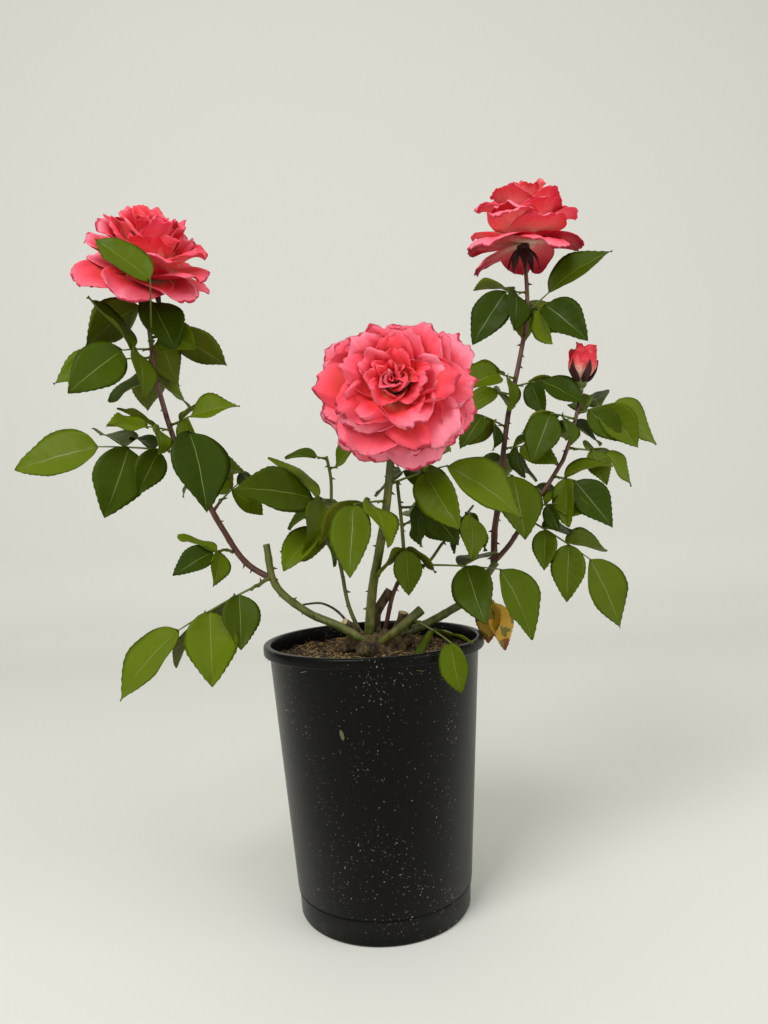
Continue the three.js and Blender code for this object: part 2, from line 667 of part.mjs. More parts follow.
function budSolids(extra) {
  const frame = bloomFrame(BUD.heading, BUD.rise);
  const foot = new THREE.Vector3(...BUD.at);
  return joined([
    limb(curveThrough(BUD.neck), BUD.radii, 6, 2, extra),
    egg(foot, frame.axis, 5.5, 7, extra),
    egg(away(foot, [frame.axis, BUD.height]), frame.axis, BUD.radius, BUD.height, extra),
    ...sepals(frame, foot, BUD.opening).map((maker) => maker(extra)),
  ]);
}

place('pot', pot, plastic);
place('compost', compostFill, compost);
place('bud_union', budUnion, oldBark);
LIMBS.forEach(placeLimb);
BLOOMS.forEach(placeBloom);
place('rose_bud', budSolids, petalPink);
FOLIAGE.forEach(placeFoliage);

export default rose;
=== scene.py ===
# %% [markdown]
# # A bush rose in a black pot
# A knobbly union at compost level, a few canes, leaves of one, three or five leaflets, three
# open blooms and one bud. Growth repeats the sizes and seeded draws that made the plain
# solids, so each fine leaf grows where its plain one is.

# %% Tools
import math
from bisect import bisect_right

import bmesh
import bpy
from mathutils import Matrix, Vector, noise


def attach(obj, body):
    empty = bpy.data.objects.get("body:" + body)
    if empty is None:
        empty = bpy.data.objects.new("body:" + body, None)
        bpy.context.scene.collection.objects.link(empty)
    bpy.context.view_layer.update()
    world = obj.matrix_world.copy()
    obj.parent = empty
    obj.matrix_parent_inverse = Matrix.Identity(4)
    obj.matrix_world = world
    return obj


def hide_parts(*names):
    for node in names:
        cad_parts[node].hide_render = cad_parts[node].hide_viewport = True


MM = 0.001
UP = Vector((0, 0, 1))

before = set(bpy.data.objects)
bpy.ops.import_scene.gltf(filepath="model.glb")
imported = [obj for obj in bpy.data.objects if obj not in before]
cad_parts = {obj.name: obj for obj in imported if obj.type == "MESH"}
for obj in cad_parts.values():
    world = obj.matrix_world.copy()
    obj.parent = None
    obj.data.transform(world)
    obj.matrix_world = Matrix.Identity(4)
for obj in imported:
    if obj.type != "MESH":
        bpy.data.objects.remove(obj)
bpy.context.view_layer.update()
print("solids to dress:", len(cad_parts))

# %% [markdown]
# The photograph looks level at the middle of the plant, with the camera rolled a little, so
# the upright pot seems to lean. The camera goes in first, because every later choice is
# judged through it. Its axes are written as a matrix, which shows a roll more plainly than
# three angles.

# %% Camera
CAMERA_PLACE = Vector((14.8, -676.7, 353.7)) * MM
CAMERA_LENS = 26
FILM_WIDTH = 36
CAMERA_ROLL = math.radians(2.76)


def add_camera():
    data = bpy.data.cameras.new("camera")
    data.lens = CAMERA_LENS
    data.sensor_width = FILM_WIDTH
    camera = bpy.data.objects.new("camera", data)
    bpy.context.scene.collection.objects.link(camera)
    right = Vector((math.cos(CAMERA_ROLL), 0, -math.sin(CAMERA_ROLL)))
    upward = Vector((math.sin(CAMERA_ROLL), 0, math.cos(CAMERA_ROLL)))
    turn = Matrix((right, upward, right.cross(upward))).transposed()
    camera.matrix_world = Matrix.Translation(CAMERA_PLACE) @ turn.to_4x4()
    bpy.context.scene.camera = camera
    return camera


camera = add_camera()
print("camera", [round(value, 3) for value in camera.location])

# %% [markdown]
# Four small helpers serve every later cell. Colours are written as sRGB hex values, as in a
# paint program, but Blender's sockets hold linear light, so one function turns them. One
# adds a node with its settings and links, one makes a plain material and one an object.

# %% Colours, nodes and objects
def linear(colour):
    channels = [((colour >> shift) & 255) / 255 for shift in (16, 8, 0)]
    curve = [c / 12.92 if c <= 0.04045 else ((c + 0.055) / 1.055) ** 2.4 for c in channels]
    return (*curve, 1)


def add_node(tree, kind, settings=None):
    """A setting is a property of the node, or a number or another node's output for an input."""
    node = tree.nodes.new(kind)
    for name, value in (settings or {}).items():
        if isinstance(value, bpy.types.NodeSocket):
            tree.links.new(value, node.inputs[name])
        elif isinstance(name, int) or name in node.inputs:
            node.inputs[name].default_value = value
        else:
            setattr(node, name, value)
    return node


def new_material(name, colour, roughness, **sockets):
    material = bpy.data.materials.new(name)
    material.use_nodes = True
    shader = material.node_tree.nodes["Principled BSDF"]
    shader.inputs["Base Color"].default_value = linear(colour)
    shader.inputs["Roughness"].default_value = roughness
    for socket, value in sockets.items():
        shader.inputs[socket.replace("_", " ")].default_value = value
    return material


def add_object(name, bm, materials):
    mesh = bpy.data.meshes.new(name)
    bm.to_mesh(mesh)
    bm.free()
    for material in materials:
        mesh.materials.append(material)
    obj = bpy.data.objects.new(name, mesh)
    bpy.context.scene.collection.objects.link(obj)
    return obj


print("mid grey in linear light", round(linear(0x808080)[0], 3))

# %% [markdown]
# A plain pale floor curves up into its backdrop as one sheet, as in a photographer's studio,
# so no line crosses behind the plant. A big soft light from the upper left gives the gentle
# shading of an overcast day, and the standard view transform keeps the petals saturated.

# %% Studio
FLOOR_COLOUR = 0xE0E0D9
SWEEP_PROFILE = ((-2.5, 0), (1.2, 0), (1.5, 0.05), (1.65, 0.25), (1.7, 3))
SWEEP_WIDTH = 8
PLANT_MIDDLE = Vector((0, 0, 0.4))


def add_sweep():
    bm = bmesh.new()
    verts = [bm.verts.new((-SWEEP_WIDTH / 2, y, z)) for y, z in SWEEP_PROFILE]
    edges = [bm.edges.new(pair) for pair in zip(verts, verts[1:])]
    grown = bmesh.ops.extrude_edge_only(bm, edges=edges)["geom"]
    moved = [item for item in grown if isinstance(item, bmesh.types.BMVert)]
    bmesh.ops.translate(bm, verts=moved, vec=(SWEEP_WIDTH, 0, 0))
    bmesh.ops.recalc_face_normals(bm, faces=bm.faces)
    sweep = add_object("studio_sweep", bm, [new_material("matt_paper", FLOOR_COLOUR, 0.9)])
    for face in sweep.data.polygons:
        face.use_smooth = True


def add_light(name, place, power, size):
    data = bpy.data.lights.new(name, "AREA")
    data.energy = power
    data.size = size
    light = bpy.data.objects.new(name, data)
    light.location = place
    aim = PLANT_MIDDLE - Vector(place)
    light.rotation_euler = aim.to_track_quat("-Z", "Y").to_euler()
    bpy.context.scene.collection.objects.link(light)


def light_world(colour, strength):
    world = bpy.data.worlds.new("sky")
    bpy.context.scene.world = world
    world.use_nodes = True
    sky = world.node_tree.nodes["Background"]
    sky.inputs["Color"].default_value = linear(colour)
    sky.inputs["Strength"].default_value = strength


add_sweep()
add_light("key", (-1.1, -1.6, 2.2), 47, 1.3)
add_light("fill", (1.8, -1.1, 1.2), 19, 1.8)
light_world(0xF6F5F1, 0.56)
bpy.context.scene.view_settings.view_transform = "Standard"
print("lights", len(bpy.data.lights))

# %% [markdown]
# Growth is worked out in millimetres and turned to metres once, when a piece is finished. The
# draws come from a small counter, so a seed always gives the same plant. Canes follow a
# smooth curve through a few points, walked by length, and leaf stalks sag on three points.

# %% Draws and curves
DRAW_RANGE = 2 ** 32
DRAW_STEP = (1664525, 1013904223)
ARC_STEPS = 200
TANGENT_STEP = 0.0001


def draws(seed):
    state = seed

    def draw(low, high):
        nonlocal state
        state = (state * DRAW_STEP[0] + DRAW_STEP[1]) % DRAW_RANGE
        return low + (high - low) * (state / DRAW_RANGE)

    return draw


def between(sizes, share):
    return sizes[0] + (sizes[1] - sizes[0]) * share


def bearing(heading, rise):
    flat = math.cos(math.radians(rise))
    turn = math.radians(heading)
    return Vector((flat * math.cos(turn), flat * math.sin(turn), math.sin(math.radians(rise))))


def ripple(x, y, z):
    return noise.noise(Vector((x, y, z)))


def smooth_curve(points):
    spots = [Vector(point) for point in points]
    before, after = 2 * spots[0] - spots[1], 2 * spots[-1] - spots[-2]
    spots = [before, *spots, after]
    spans = len(spots) - 3

    def at(t):
        span = min(int(t * spans), spans - 1)
        w = t * spans - span
        a, b, c, d = spots[span:span + 4]
        leave, arrive = 0.5 * (c - a), 0.5 * (d - b)
        square = -3 * b + 3 * c - 2 * leave - arrive
        cube = 2 * b - 2 * c + leave + arrive
        return b + leave * w + square * w ** 2 + cube * w ** 3

    return at


def walked(curve):
    samples = [curve(i / ARC_STEPS) for i in range(ARC_STEPS + 1)]
    lengths = [0.0]
    for start, end in zip(samples, samples[1:]):
        lengths.append(lengths[-1] + (end - start).length)

    def at(share):
        target = share * lengths[-1]
        step = min(bisect_right(lengths, target) - 1, ARC_STEPS - 1)
        part = (target - lengths[step]) / (lengths[step + 1] - lengths[step])
        return curve((step + part) / ARC_STEPS)

    return at


def sagging_curve(start, middle, end):
    return lambda t: start * (1 - t) ** 2 + middle * (2 * t * (1 - t)) + end * t ** 2


def tangent(curve, t):
    ahead = curve(min(t + TANGENT_STEP, 1))
    return (ahead - curve(max(t - TANGENT_STEP, 0))).normalized()


print("first draw", round(draws(101)(0, 1), 4))

# %% [markdown]
# Nearly everything on a plant is a bent sheet or a bent tube. Both start as a flat grid,
# whose points are moved to their place on the leaf, petal or cane. A sheet's second side is
# another grid that shares its rim. A Solidify modifier would thicken it too, but its back
# could only copy the colours of its face.

# %% Sheets
WELD = 0.002


def add_grid(bm, columns, rows, place, material_at):
    grid = bmesh.ops.create_grid(bm, x_segments=columns, y_segments=rows, size=1, calc_uvs=True)
    shares = {vert: (0.5 + 0.5 * vert.co.x, 0.5 + 0.5 * vert.co.y) for vert in grid["verts"]}
    faces = list(dict.fromkeys(face for vert in grid["verts"] for face in vert.link_faces))
    for face in faces:
        across = sum(shares[vert][0] for vert in face.verts) / 4
        along = sum(shares[vert][1] for vert in face.verts) / 4
        face.material_index = material_at(across, along)
        face.smooth = True
    for vert, (across, along) in shares.items():
        vert.co = place(across, along)
    return grid["verts"], faces


def add_sheet(bm, columns, rows, place, top_at, under_at):
    top, top_faces = add_grid(bm, columns, rows, lambda a, s: place(a, s, 1), top_at)
    under, under_faces = add_grid(bm, columns, rows, lambda a, s: place(a, s, -1), under_at)
    bmesh.ops.reverse_faces(bm, faces=under_faces)
    rim = [vert for vert in top + under if vert.is_boundary]
    bmesh.ops.remove_doubles(bm, verts=rim, dist=WELD)


print("rims are welded within", WELD, "mm")

# %% [markdown]
# A tube is a grid rolled up round its curve, with its seam merged and its ends capped. A
# bevelled curve would be quicker, but couldn't be knobbly or flared. Each ring carries its
# frame on from the last one, so that a long cane doesn't twist.

# %% Tubes
def carried_frames(curve, rings):
    along = tangent(curve, 0)
    side = along.orthogonal().normalized()
    frames = []
    for ring in range(rings + 1):
        along = tangent(curve, ring / rings)
        side = (side - along * side.dot(along)).normalized()
        frames.append((curve(ring / rings), side, along.cross(side)))
    return frames


def add_tube(bm, curve, radius_at, sides, rings, material=0):
    frames = carried_frames(curve, rings)

    def place(across, share):
        centre, side, other = frames[round(share * rings)]
        angle = 2 * math.pi * across
        radius = radius_at(share, angle)
        return centre + (side * math.cos(angle) + other * math.sin(angle)) * radius

    verts, faces = add_grid(bm, sides, rings, place, lambda across, share: material)
    bmesh.ops.remove_doubles(bm, verts=verts, dist=WELD)
    open_edges = [e for f in faces if f.is_valid for e in f.edges if e.is_boundary]
    caps = bmesh.ops.holes_fill(bm, edges=list(dict.fromkeys(open_edges)), sides=0)["faces"]
    for cap in caps:
        cap.material_index = material
    return caps


# %% [markdown]
# Small plain solids are moved, turned and stretched by one matrix. A finished piece is scaled
# to metres in its mesh, so that its object sits at the origin, and it tells the frame what it
# rides with and which solids it takes the place of.

# %% Solids and finished pieces
def shape_solid(bm, verts, matrix, material, smooth=True):
    bmesh.ops.transform(bm, matrix=matrix, verts=verts)
    for face in {face for vert in verts for face in vert.link_faces}:
        face.material_index = material
        face.smooth = smooth


def facing(aim):
    return aim.to_track_quat("Z", "Y").to_matrix().to_4x4()


def add_ball(bm, centre, axis, radii, material):
    ball = bmesh.ops.create_uvsphere(bm, u_segments=16, v_segments=10, radius=1)
    stretch = Matrix.Diagonal((*radii, 1))
    shape_solid(bm, ball["verts"], Matrix.Translation(centre) @ facing(axis) @ stretch, material)


def new_shape():
    bm = bmesh.new()
    bm.loops.layers.uv.new("blade")
    return bm


def finish_piece(name, bm, materials, nodes=()):
    bmesh.ops.scale(bm, vec=(MM, MM, MM), verts=bm.verts)
    piece = add_object(name, bm, materials)
    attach(piece, "root")
    if nodes:
        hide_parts(*nodes)
    triangles = sum(len(face.vertices) - 2 for face in piece.data.polygons)
    print(name, triangles, "triangles")
    return piece


# %% [markdown]
# A rose leaf is satin and dark olive green above and paler below, with a pale midrib and
# side veins that dimple it. Leaves differ, so a few plain greens are dealt out leaf by leaf,
# and only the veins are drawn, as a bump that follows each blade's own map.

# %% Leaf finishes
VEINS = 7
VEIN_SLANT = 2.6
VEIN_SHARPNESS = 0.45
VEIN_DEPTH = 0.0016
LEAF_TOPS = (0x4E5F03, 0x3C4D02, 0x596B05, 0x2F4002)
LEAF_UNDERS = (0x626A06, 0x545B05)
LEAF_RIBS = 0x66782C


def vein_bump(material, strength):
    tree = material.node_tree
    place = add_node(tree, "ShaderNodeUVMap", {"uv_map": "blade"})
    split = add_node(tree, "ShaderNodeSeparateXYZ", {"Vector": place.outputs["UV"]})
    aside = split.outputs["X"]
    for operation, value in (("SUBTRACT", 0.5), ("ABSOLUTE", 0), ("MULTIPLY", -VEIN_SLANT)):
        step = add_node(tree, "ShaderNodeMath", {"operation": operation, 0: aside, 1: value})
        aside = step.outputs[0]
    height = split.outputs["Y"]
    for operation, value in (
        ("MULTIPLY", VEINS), ("ADD", aside), ("PINGPONG", 0.5), ("POWER", VEIN_SHARPNESS),
    ):
        step = add_node(tree, "ShaderNodeMath", {"operation": operation, 0: height, 1: value})
        height = step.outputs[0]
    settings = {"Strength": strength, "Distance": VEIN_DEPTH, "Height": height}
    bump = add_node(tree, "ShaderNodeBump", settings)
    tree.links.new(bump.outputs["Normal"], tree.nodes["Principled BSDF"].inputs["Normal"])
    return material


# A satin cuticle: soft highlights on a dark, even green.
leaf_tops = [
    vein_bump(new_material(f"satin_leaf_{i}", colour, 0.46, Specular_IOR_Level=0.09), 0.2)
    for i, colour in enumerate(LEAF_TOPS)
]
# The underside is matt and paler, with the veins standing out of it.
leaf_unders = [
    vein_bump(new_material(f"matt_leaf_underside_{i}", colour, 0.55, Specular_IOR_Level=0.12), 0.3)
    for i, colour in enumerate(LEAF_UNDERS)
]
leaf_rib = new_material("leaf_midrib", LEAF_RIBS, 0.5)
# A leaf that is going over turns yellow first and brown at its tip, with green left in places.
leaf_yellow = vein_bump(new_material("yellowed_leaf", 0xC0941C, 0.55), 0.3)
leaf_olive = vein_bump(new_material("yellowing_leaf", 0x6E6A14, 0.5), 0.3)
leaf_brown = new_material("withered_leaf", 0x8A4B1E, 0.7)
young_stem = new_material("green_leaf_stalk", 0x5C6B28, 0.5)
sepal_red = new_material("maroon_sepal", 0x3A1A16, 0.6, Specular_IOR_Level=0.3)
LEAF_MATERIALS = [*leaf_tops, *leaf_unders, leaf_rib, leaf_yellow, leaf_olive, leaf_brown]
UNDER = len(LEAF_TOPS)
RIB = UNDER + len(LEAF_UNDERS)
YELLOW, OLIVE, BROWN = RIB + 1, RIB + 2, RIB + 3
print("leaf finishes", len(LEAF_MATERIALS))

# %% [markdown]
# A leaflet is an ovate sheet, folded a little along its midrib and curling down to its tip.
# The fold and curl are the arcs that bend the plain blade. The fine sheet adds what that one
# leaves out: teeth, a wavy rim, a dimpled blade and the thinness of a real leaf.

# %% Leaflet
LEAFLET_WIDTH = 0.64
LEAFLET_FOLD = (8, 24)
LEAFLET_CURL = (8, 32)
LEAFLET_STRAY = 0.08
LEAFLET_SIZES = (0.94, 1.06)
LEAFLET_WIDTHS = (0.92, 1.1)
LEAFLET_WAVES = (0.8, 2.6)
BLADE_COLUMNS = (-1, -0.8, -0.5, -0.2, -0.018, 0.018, 0.2, 0.5, 0.8, 1)
BLADE_ROWS = 26
BLADE_THICKNESS = 0.35
TOOTH = 0.6
DIMPLE = 1.6
RIB_SHARE = 0.02


def leaflet_outline(share):
    if share >= 1:
        return 0
    drawn_in = 1 - 0.3 * max(0, (share - 0.55) / 0.45)
    return drawn_in * math.sin(math.pi * share ** 0.8) ** 0.8


def leaflet_point(blade, across, share):
    bend = math.radians(blade["curl"])
    lift = math.radians(blade["fold"])
    turn = bend * share
    normal, axis = blade["normal"], blade["axis"]
    spine = normal * math.cos(turn) + axis * math.sin(turn)
    half = 0.5 * blade["width"] * leaflet_outline(share)
    wave = blade["wave"] * math.sin(blade["waves"] * share + math.copysign(1.3, across))
    dimple = ripple(2.2 * across, blade["length"] * share / 14, blade["waves"])
    out = across * half
    rise = abs(out) * math.sin(lift) * (0.6 + 0.4 * abs(across))
    return (
        blade["base"]
        + axis * (blade["length"] * math.sin(turn) / bend)
        - normal * (blade["length"] * (1 - math.cos(turn)) / bend)
        + blade["side"] * (out * math.cos(lift))
        + spine * (rise + wave * across ** 2 + DIMPLE * dimple)
    ), spine


def blade_place(base, axis, face):
    """A blade lies along its axis with its upper side as near to face as it can be."""
    normal = (face - axis * face.dot(axis)).normalized()
    return {"base": base, "axis": axis, "normal": normal, "side": axis.cross(normal)}


def plain_paint(top, under, rib):
    return {"top": lambda a, s: top, "under": lambda a, s: under, "rib": rib}


def add_leaflet(bm, blade, paint, rows=BLADE_ROWS, teeth=True):
    last = len(BLADE_COLUMNS) - 1

    def place(across, share, face):
        column = round(across * last)
        row = round(share * rows)
        spot, spine = leaflet_point(blade, BLADE_COLUMNS[column], share)
        on_rim = column in (0, last) or row in (0, rows)
        if not on_rim:
            return spot + spine * (face * BLADE_THICKNESS / 2)
        tooth = TOOTH if teeth and row % 2 and row < rows - 1 else 0
        outward = blade["side"] * BLADE_COLUMNS[column] * 0.7 + blade["axis"]
        return spot + outward * tooth

    def painted(side):
        return lambda a, s: paint["rib"] if abs(a - 0.5) < RIB_SHARE else paint[side](a, s)

    add_sheet(bm, last, rows, place, painted("top"), painted("under"))


print("leaflet sheet", len(BLADE_COLUMNS) - 1, "by", BLADE_ROWS)

# %% [markdown]
# A rose leaf is a stalk with leaflets in pairs and one more at its end. The rule is the one
# that grew the plain leaves, with the same draws in the same order: the end leaflet first,
# then the pairs from the tip inwards. Draws that only the fine leaf needs have their own
# counter.

# %% Growth of a leaf
TIP_ROOT = 1.4
PAIR_STEPS = (0.42, 0.36)
PAIR_SPREAD = 68
PAIR_STAGGER = 1.6
PAIR_TILT = 24
PAIR_SIZES = (0.86, 0.64)
STALK_SAG = 0.08
STALK_RADII = (1.15, 0.6)


def leaf(at, heading, rise, stalk, leaflets, size, hang, twist, pair_hang=None, turn=0):
    return {
        "at": at, "heading": heading, "rise": rise, "stalk": stalk, "leaflets": leaflets,
        "size": size, "hang": hang, "twist": twist, "turn": turn,
        "pair_hang": hang if pair_hang is None else pair_hang,
    }


def leaf_frame(stalk, share, twist):
    along = tangent(stalk, share)
    side = along.cross(UP).normalized()
    face = side.cross(along)
    front = 1 if side.y < 0 else -1
    angle = math.radians(twist)
    face = (face * math.cos(angle) + side * front * math.sin(angle)).normalized()
    return along, face, along.cross(face)


def leaflet_spec(base, direction, face, length, hang, draw, fine):
    axis = direction - UP * math.tan(math.radians(hang))
    axis += Vector([draw(-LEAFLET_STRAY, LEAFLET_STRAY) for _ in range(3)])
    axis.normalize()
    size = length * draw(*LEAFLET_SIZES)
    width = size * LEAFLET_WIDTH * draw(*LEAFLET_WIDTHS)
    fold = draw(*LEAFLET_FOLD)
    curl = draw(*LEAFLET_CURL)
    return {
        **blade_place(base, axis, face), "length": size, "width": width,
        "fold": fold, "curl": curl, "wave": fine(*LEAFLET_WAVES), "waves": fine(5, 10),
    }


def turned_about_up(vector, degrees):
    return Matrix.Rotation(math.radians(degrees), 3, UP) @ vector


def grow_leaf(node, plan, draw, fine):
    aim = bearing(plan["heading"], plan["rise"])
    length = plan["stalk"]
    end = node + aim * length - UP * (length * STALK_SAG)
    stalk = sagging_curve(node, node + aim * (length / 2), end)
    along, face, _ = leaf_frame(stalk, 1, plan["twist"])
    ahead = turned_about_up(along, plan["turn"])
    tip_face = turned_about_up(face, plan["turn"])
    root = end - along * TIP_ROOT
    blades = [leaflet_spec(root, ahead, tip_face, plan["size"], plan["hang"], draw, fine)]
    pairs = (plan["leaflets"] - 1) // 2
    tilt, spread = math.radians(PAIR_TILT), math.radians(PAIR_SPREAD)
    for pair in range(pairs):
        share = 1 - PAIR_STEPS[pairs - 1] * (pair + 1)
        along, face, aside = leaf_frame(stalk, share, plan["twist"])
        pair_face = face * math.cos(tilt) - along * math.sin(tilt)
        for side in (-1, 1):
            direction = along * math.cos(spread) + aside * (side * math.sin(spread))
            base = stalk(share + side * PAIR_STAGGER / length)
            size = plan["size"] * PAIR_SIZES[pair]
            hang = plan["pair_hang"]
            blades.append(leaflet_spec(base, direction, pair_face, size, hang, draw, fine))
    return stalk, blades


print("leaf rule ready")

# %% [markdown]
# The masses of foliage, each a stem with its leaves, in the sizes that the plain masses were
# grown from. A leaf is given by its place along the stem, heading, rise, stalk, number of
# leaflets, their size, how far they hang, and how far the leaf twists to face the viewer.

# %% Foliage
def mass(name, seed, bark, radii, points, *leaves, colour="green"):
    return {"name": name, "seed": seed, "bark": bark, "radii": radii, "points": points,
            "leaves": leaves, "colour": colour}


FOLIAGE = [
    mass("left_fork_leaf", 101, "green", (2, 1.6),
         [(-89, -17, 300), (-94, -22, 298), (-99, -28, 294)],
         leaf(0.8, 207, -20, 78, 5, 74, 14, 25, 48)),
    mass("left_low_leaf", 102, "green", (1.5, 1.3),
         [(-123, -11, 324), (-125, -16, 326), (-127, -21, 327)],
         leaf(0.8, 226, 2, 16, 3, 42, 16, 50)),
    mass("left_inner_leaf", 103, "red", (1.5, 1.3),
         [(-138, -9, 363), (-136, -5, 367), (-134, 0, 371)],
         leaf(0.8, 60, 37, 34, 3, 44, 20, 45)),
    mass("side_leaf", 110, "green", (1.5, 1.3),
         [(31, -3, 300), (36, -6, 303), (42, -9, 305)],
         leaf(0.8, 348, 0, 78, 3, 68, 55, 30, 12)),
    mass("yellow_leaf", 111, "green", (1.4, 1.2),
         [(95, 30, 270), (99, 26, 272), (104, 22, 271)],
         leaf(0.8, 322, -25, 16, 3, 44, 65, 20), colour="yellow"),
    mass("low_leaf", 112, "green", (1.5, 1.3),
         [(33, 2, 246), (35, -6, 252), (38, -16, 256)],
         leaf(0.8, 288, 0, 84, 3, 40, 72, 20, 20)),
    mass("left_middle_foliage", 104, "red", (2.6, 2.4),
         [(-145, -8, 372), (-159, -6, 398), (-171, -4, 424), (-179, -2, 449)],
         leaf(0.6, 193, 10, 72, 5, 74, 8, 60, 30), leaf(0.72, 305, 12, 40, 1, 78, 58, 0),
         leaf(0.85, 240, 8, 30, 3, 44, 0, 40, 10), leaf(0.9, 345, 24, 24, 3, 46, 0, 50, 20),
         leaf(0.35, 80, 20, 46, 3, 54, 25, -20)),
    mass("left_upper_foliage", 105, "red", (2.4, 2),
         [(-179, -2, 449), (-188, 1, 487), (-192, 3, 525), (-195, 5, 562)],
         leaf(0.57, 240, -6, 36, 3, 64, 25, 60, -10), leaf(0.5, 205, 0, 26, 1, 66, 10, 50),
         leaf(0.66, 32, 22, 20, 3, 62, 24, -30, 40), leaf(0.95, 186, -12, 8, 1, 66, 8, -38),
         leaf(0.6, 288, 28, 92, 1, 62, -30, -50, 0, -108), leaf(0.97, 318, -14, 8, 1, 58, 36, 20),
         leaf(0.3, 115, 20, 48, 3, 54, 25, 0)),
    mass("centre_foliage", 106, "green", (3.8, 3.2),
         [(13, -36, 338), (18, -48, 364), (22, -57, 393), (26, -62, 425)],
         leaf(0.3, 228, 2, 42, 3, 62, 58, 0, 30, 34), leaf(0.46, 349, 19, 54, 3, 78, 36, 40, 20),
         leaf(0.5, 60, 20, 45, 3, 54, 25, 0)),
    mass("inner_left_foliage", 107, "green", (1.7, 1.4),
         [(-31, 14, 325), (-34, 13, 355), (-33, 10, 386), (-36, 8, 408)],
         leaf(0.16, 232, 8, 26, 3, 50, 28, 20), leaf(0.5, 222, 12, 24, 3, 76, -8, 60, 10),
         leaf(0.85, 318, 15, 10, 1, 42, -30, 60), leaf(0.96, 200, 20, 12, 1, 30, 0, 40),
         leaf(0.4, 110, 15, 42, 3, 54, 25, 0)),
    mass("right_lower_foliage", 113, "red", (2.9, 2.7),
         [(129, 52, 360), (132, 58, 382), (139, 63, 420), (144, 66, 445)],
         leaf(0.3, 282, 0, 32, 1, 64, 58, 0), leaf(0.85, 214, 24, 35, 3, 44, 50, 30),
         leaf(0.6, 305, 5, 26, 3, 42, 20, 60), leaf(0.45, 80, 15, 48, 3, 56, 25, 0)),
    mass("inner_centre_foliage", 108, "green", (1.9, 1.5),
         [(30, 0, 298), (31, -4, 317), (30, -4, 349), (28, -4, 382)],
         leaf(0.24, 275, 9, 22, 3, 40, 70, 0, 30), leaf(0.5, 34, 27, 38, 3, 46, 25, 40),
         leaf(0.7, 325, 5, 30, 3, 48, 40, 40)),
    mass("centre_right_foliage", 109, "green", (1.3, 1.1),
         [(84, 20, 338), (92, 23, 347), (100, 26, 356)],
         leaf(0.6, 270, 0, 26, 3, 46, 50, 20)),
    mass("right_middle_foliage", 114, "red", (2.7, 2.4),
         [(144, 66, 445), (151, 70, 470), (159, 73, 499), (166, 76, 527)],
         leaf(0.45, 225, 9, 30, 3, 52, 16, 50), leaf(0.35, 330, 10, 30, 3, 50, 30, 40),
         leaf(0.25, 120, 20, 46, 3, 54, 25, 0)),
    mass("right_upper_foliage", 115, "red", (2.4, 2.1),
         [(166, 76, 527), (171, 79, 555), (172, 81, 580), (172, 83, 600)],
         leaf(0.3, 326, 38, 32, 1, 68, -4, 60), leaf(0.22, 312, 26, 28, 3, 58, 50, 40, 40),
         leaf(0.6, 200, 3, 26, 3, 62, 48, 50, 20), leaf(0.45, 80, 20, 44, 3, 54, 25, 0)),
    mass("bud_lower_foliage", 116, "red", (2.3, 2.1),
         [(144, 30, 332), (160, 27, 356), (175, 29, 376), (189, 34, 395)],
         leaf(0.14, 346, -32, 68, 5, 68, 40, 45, 20), leaf(0.3, 325, 10, 24, 3, 36, 10, 60),
         leaf(0.75, 316, -8, 24, 3, 58, 38, 45, 10), leaf(0.5, 90, 15, 44, 3, 52, 25, 0)),
    mass("bud_upper_foliage", 117, "red", (2.1, 1.9),
         [(189, 34, 395), (200, 40, 419), (209, 46, 446), (214, 50, 462)],
         leaf(0.18, 10, -4, 40, 3, 46, 30, 50), leaf(0.68, 13, 18, 44, 5, 66, 40, 50, 20),
         leaf(0.6, 215, 12, 37, 3, 50, 60, 20, 30), leaf(0.45, 80, 20, 42, 3, 50, 25, 0)),
]
print("masses", len(FOLIAGE))

# %% [markdown]
# Prickles are corky outgrowths of the skin, broad at the foot, flattened from the sides and
# leaning back towards the root. Each is a cone on a random side of the cane, one to about
# 13 mm of it.

# %% Prickles
PRICKLE_SPACING = 13
PRICKLE_LENGTH = 4.5
PRICKLE_RADII = (1.5, 0.12)
PRICKLE_FLATNESS = 0.6
PRICKLE_DROOP = 0.35
PRICKLE_SINK = 0.6
PRICKLE_SEED = 9000
# The place of the cork finish among the materials of canes and of young stems.
PRICKLE = 3
LENGTH_STEPS = 40


def curve_length(curve):
    spots = [curve(i / LENGTH_STEPS) for i in range(LENGTH_STEPS + 1)]
    return sum((end - start).length for start, end in zip(spots, spots[1:]))


def add_prickle(bm, root, aim, size):
    length = PRICKLE_LENGTH * size
    foot, tip = PRICKLE_RADII
    cone = bmesh.ops.create_cone(
        bm, cap_ends=True, segments=8, radius1=foot * size, radius2=tip, depth=length,
    )
    stand = Matrix.Translation((0, 0, length / 2))
    flatten = Matrix.Diagonal((PRICKLE_FLATNESS, 1, 1, 1))
    place = Matrix.Translation(root) @ facing(aim) @ flatten @ stand
    shape_solid(bm, cone["verts"], place, PRICKLE)


def add_prickles(bm, curve, radii, seed):
    draw = draws(seed)
    count = int(curve_length(curve) / PRICKLE_SPACING)
    for i in range(count):
        share = (i + draw(0.2, 0.8)) / count
        along = tangent(curve, share)
        out = along.cross(bearing(draw(0, 360), draw(-40, 40))).normalized()
        root = curve(share) + out * (between(radii, share) - PRICKLE_SINK)
        add_prickle(bm, root, (out - along * PRICKLE_DROOP).normalized(), draw(0.6, 1.05))


print("prickle every", PRICKLE_SPACING, "mm")

# %% [markdown]
# Each mass is grown leaf by leaf. Blades and woody tubes go into pieces of their own, because
# their finishes differ. A small pair of stipules wraps each stalk's foot, and short prickles
# stand along the stem.

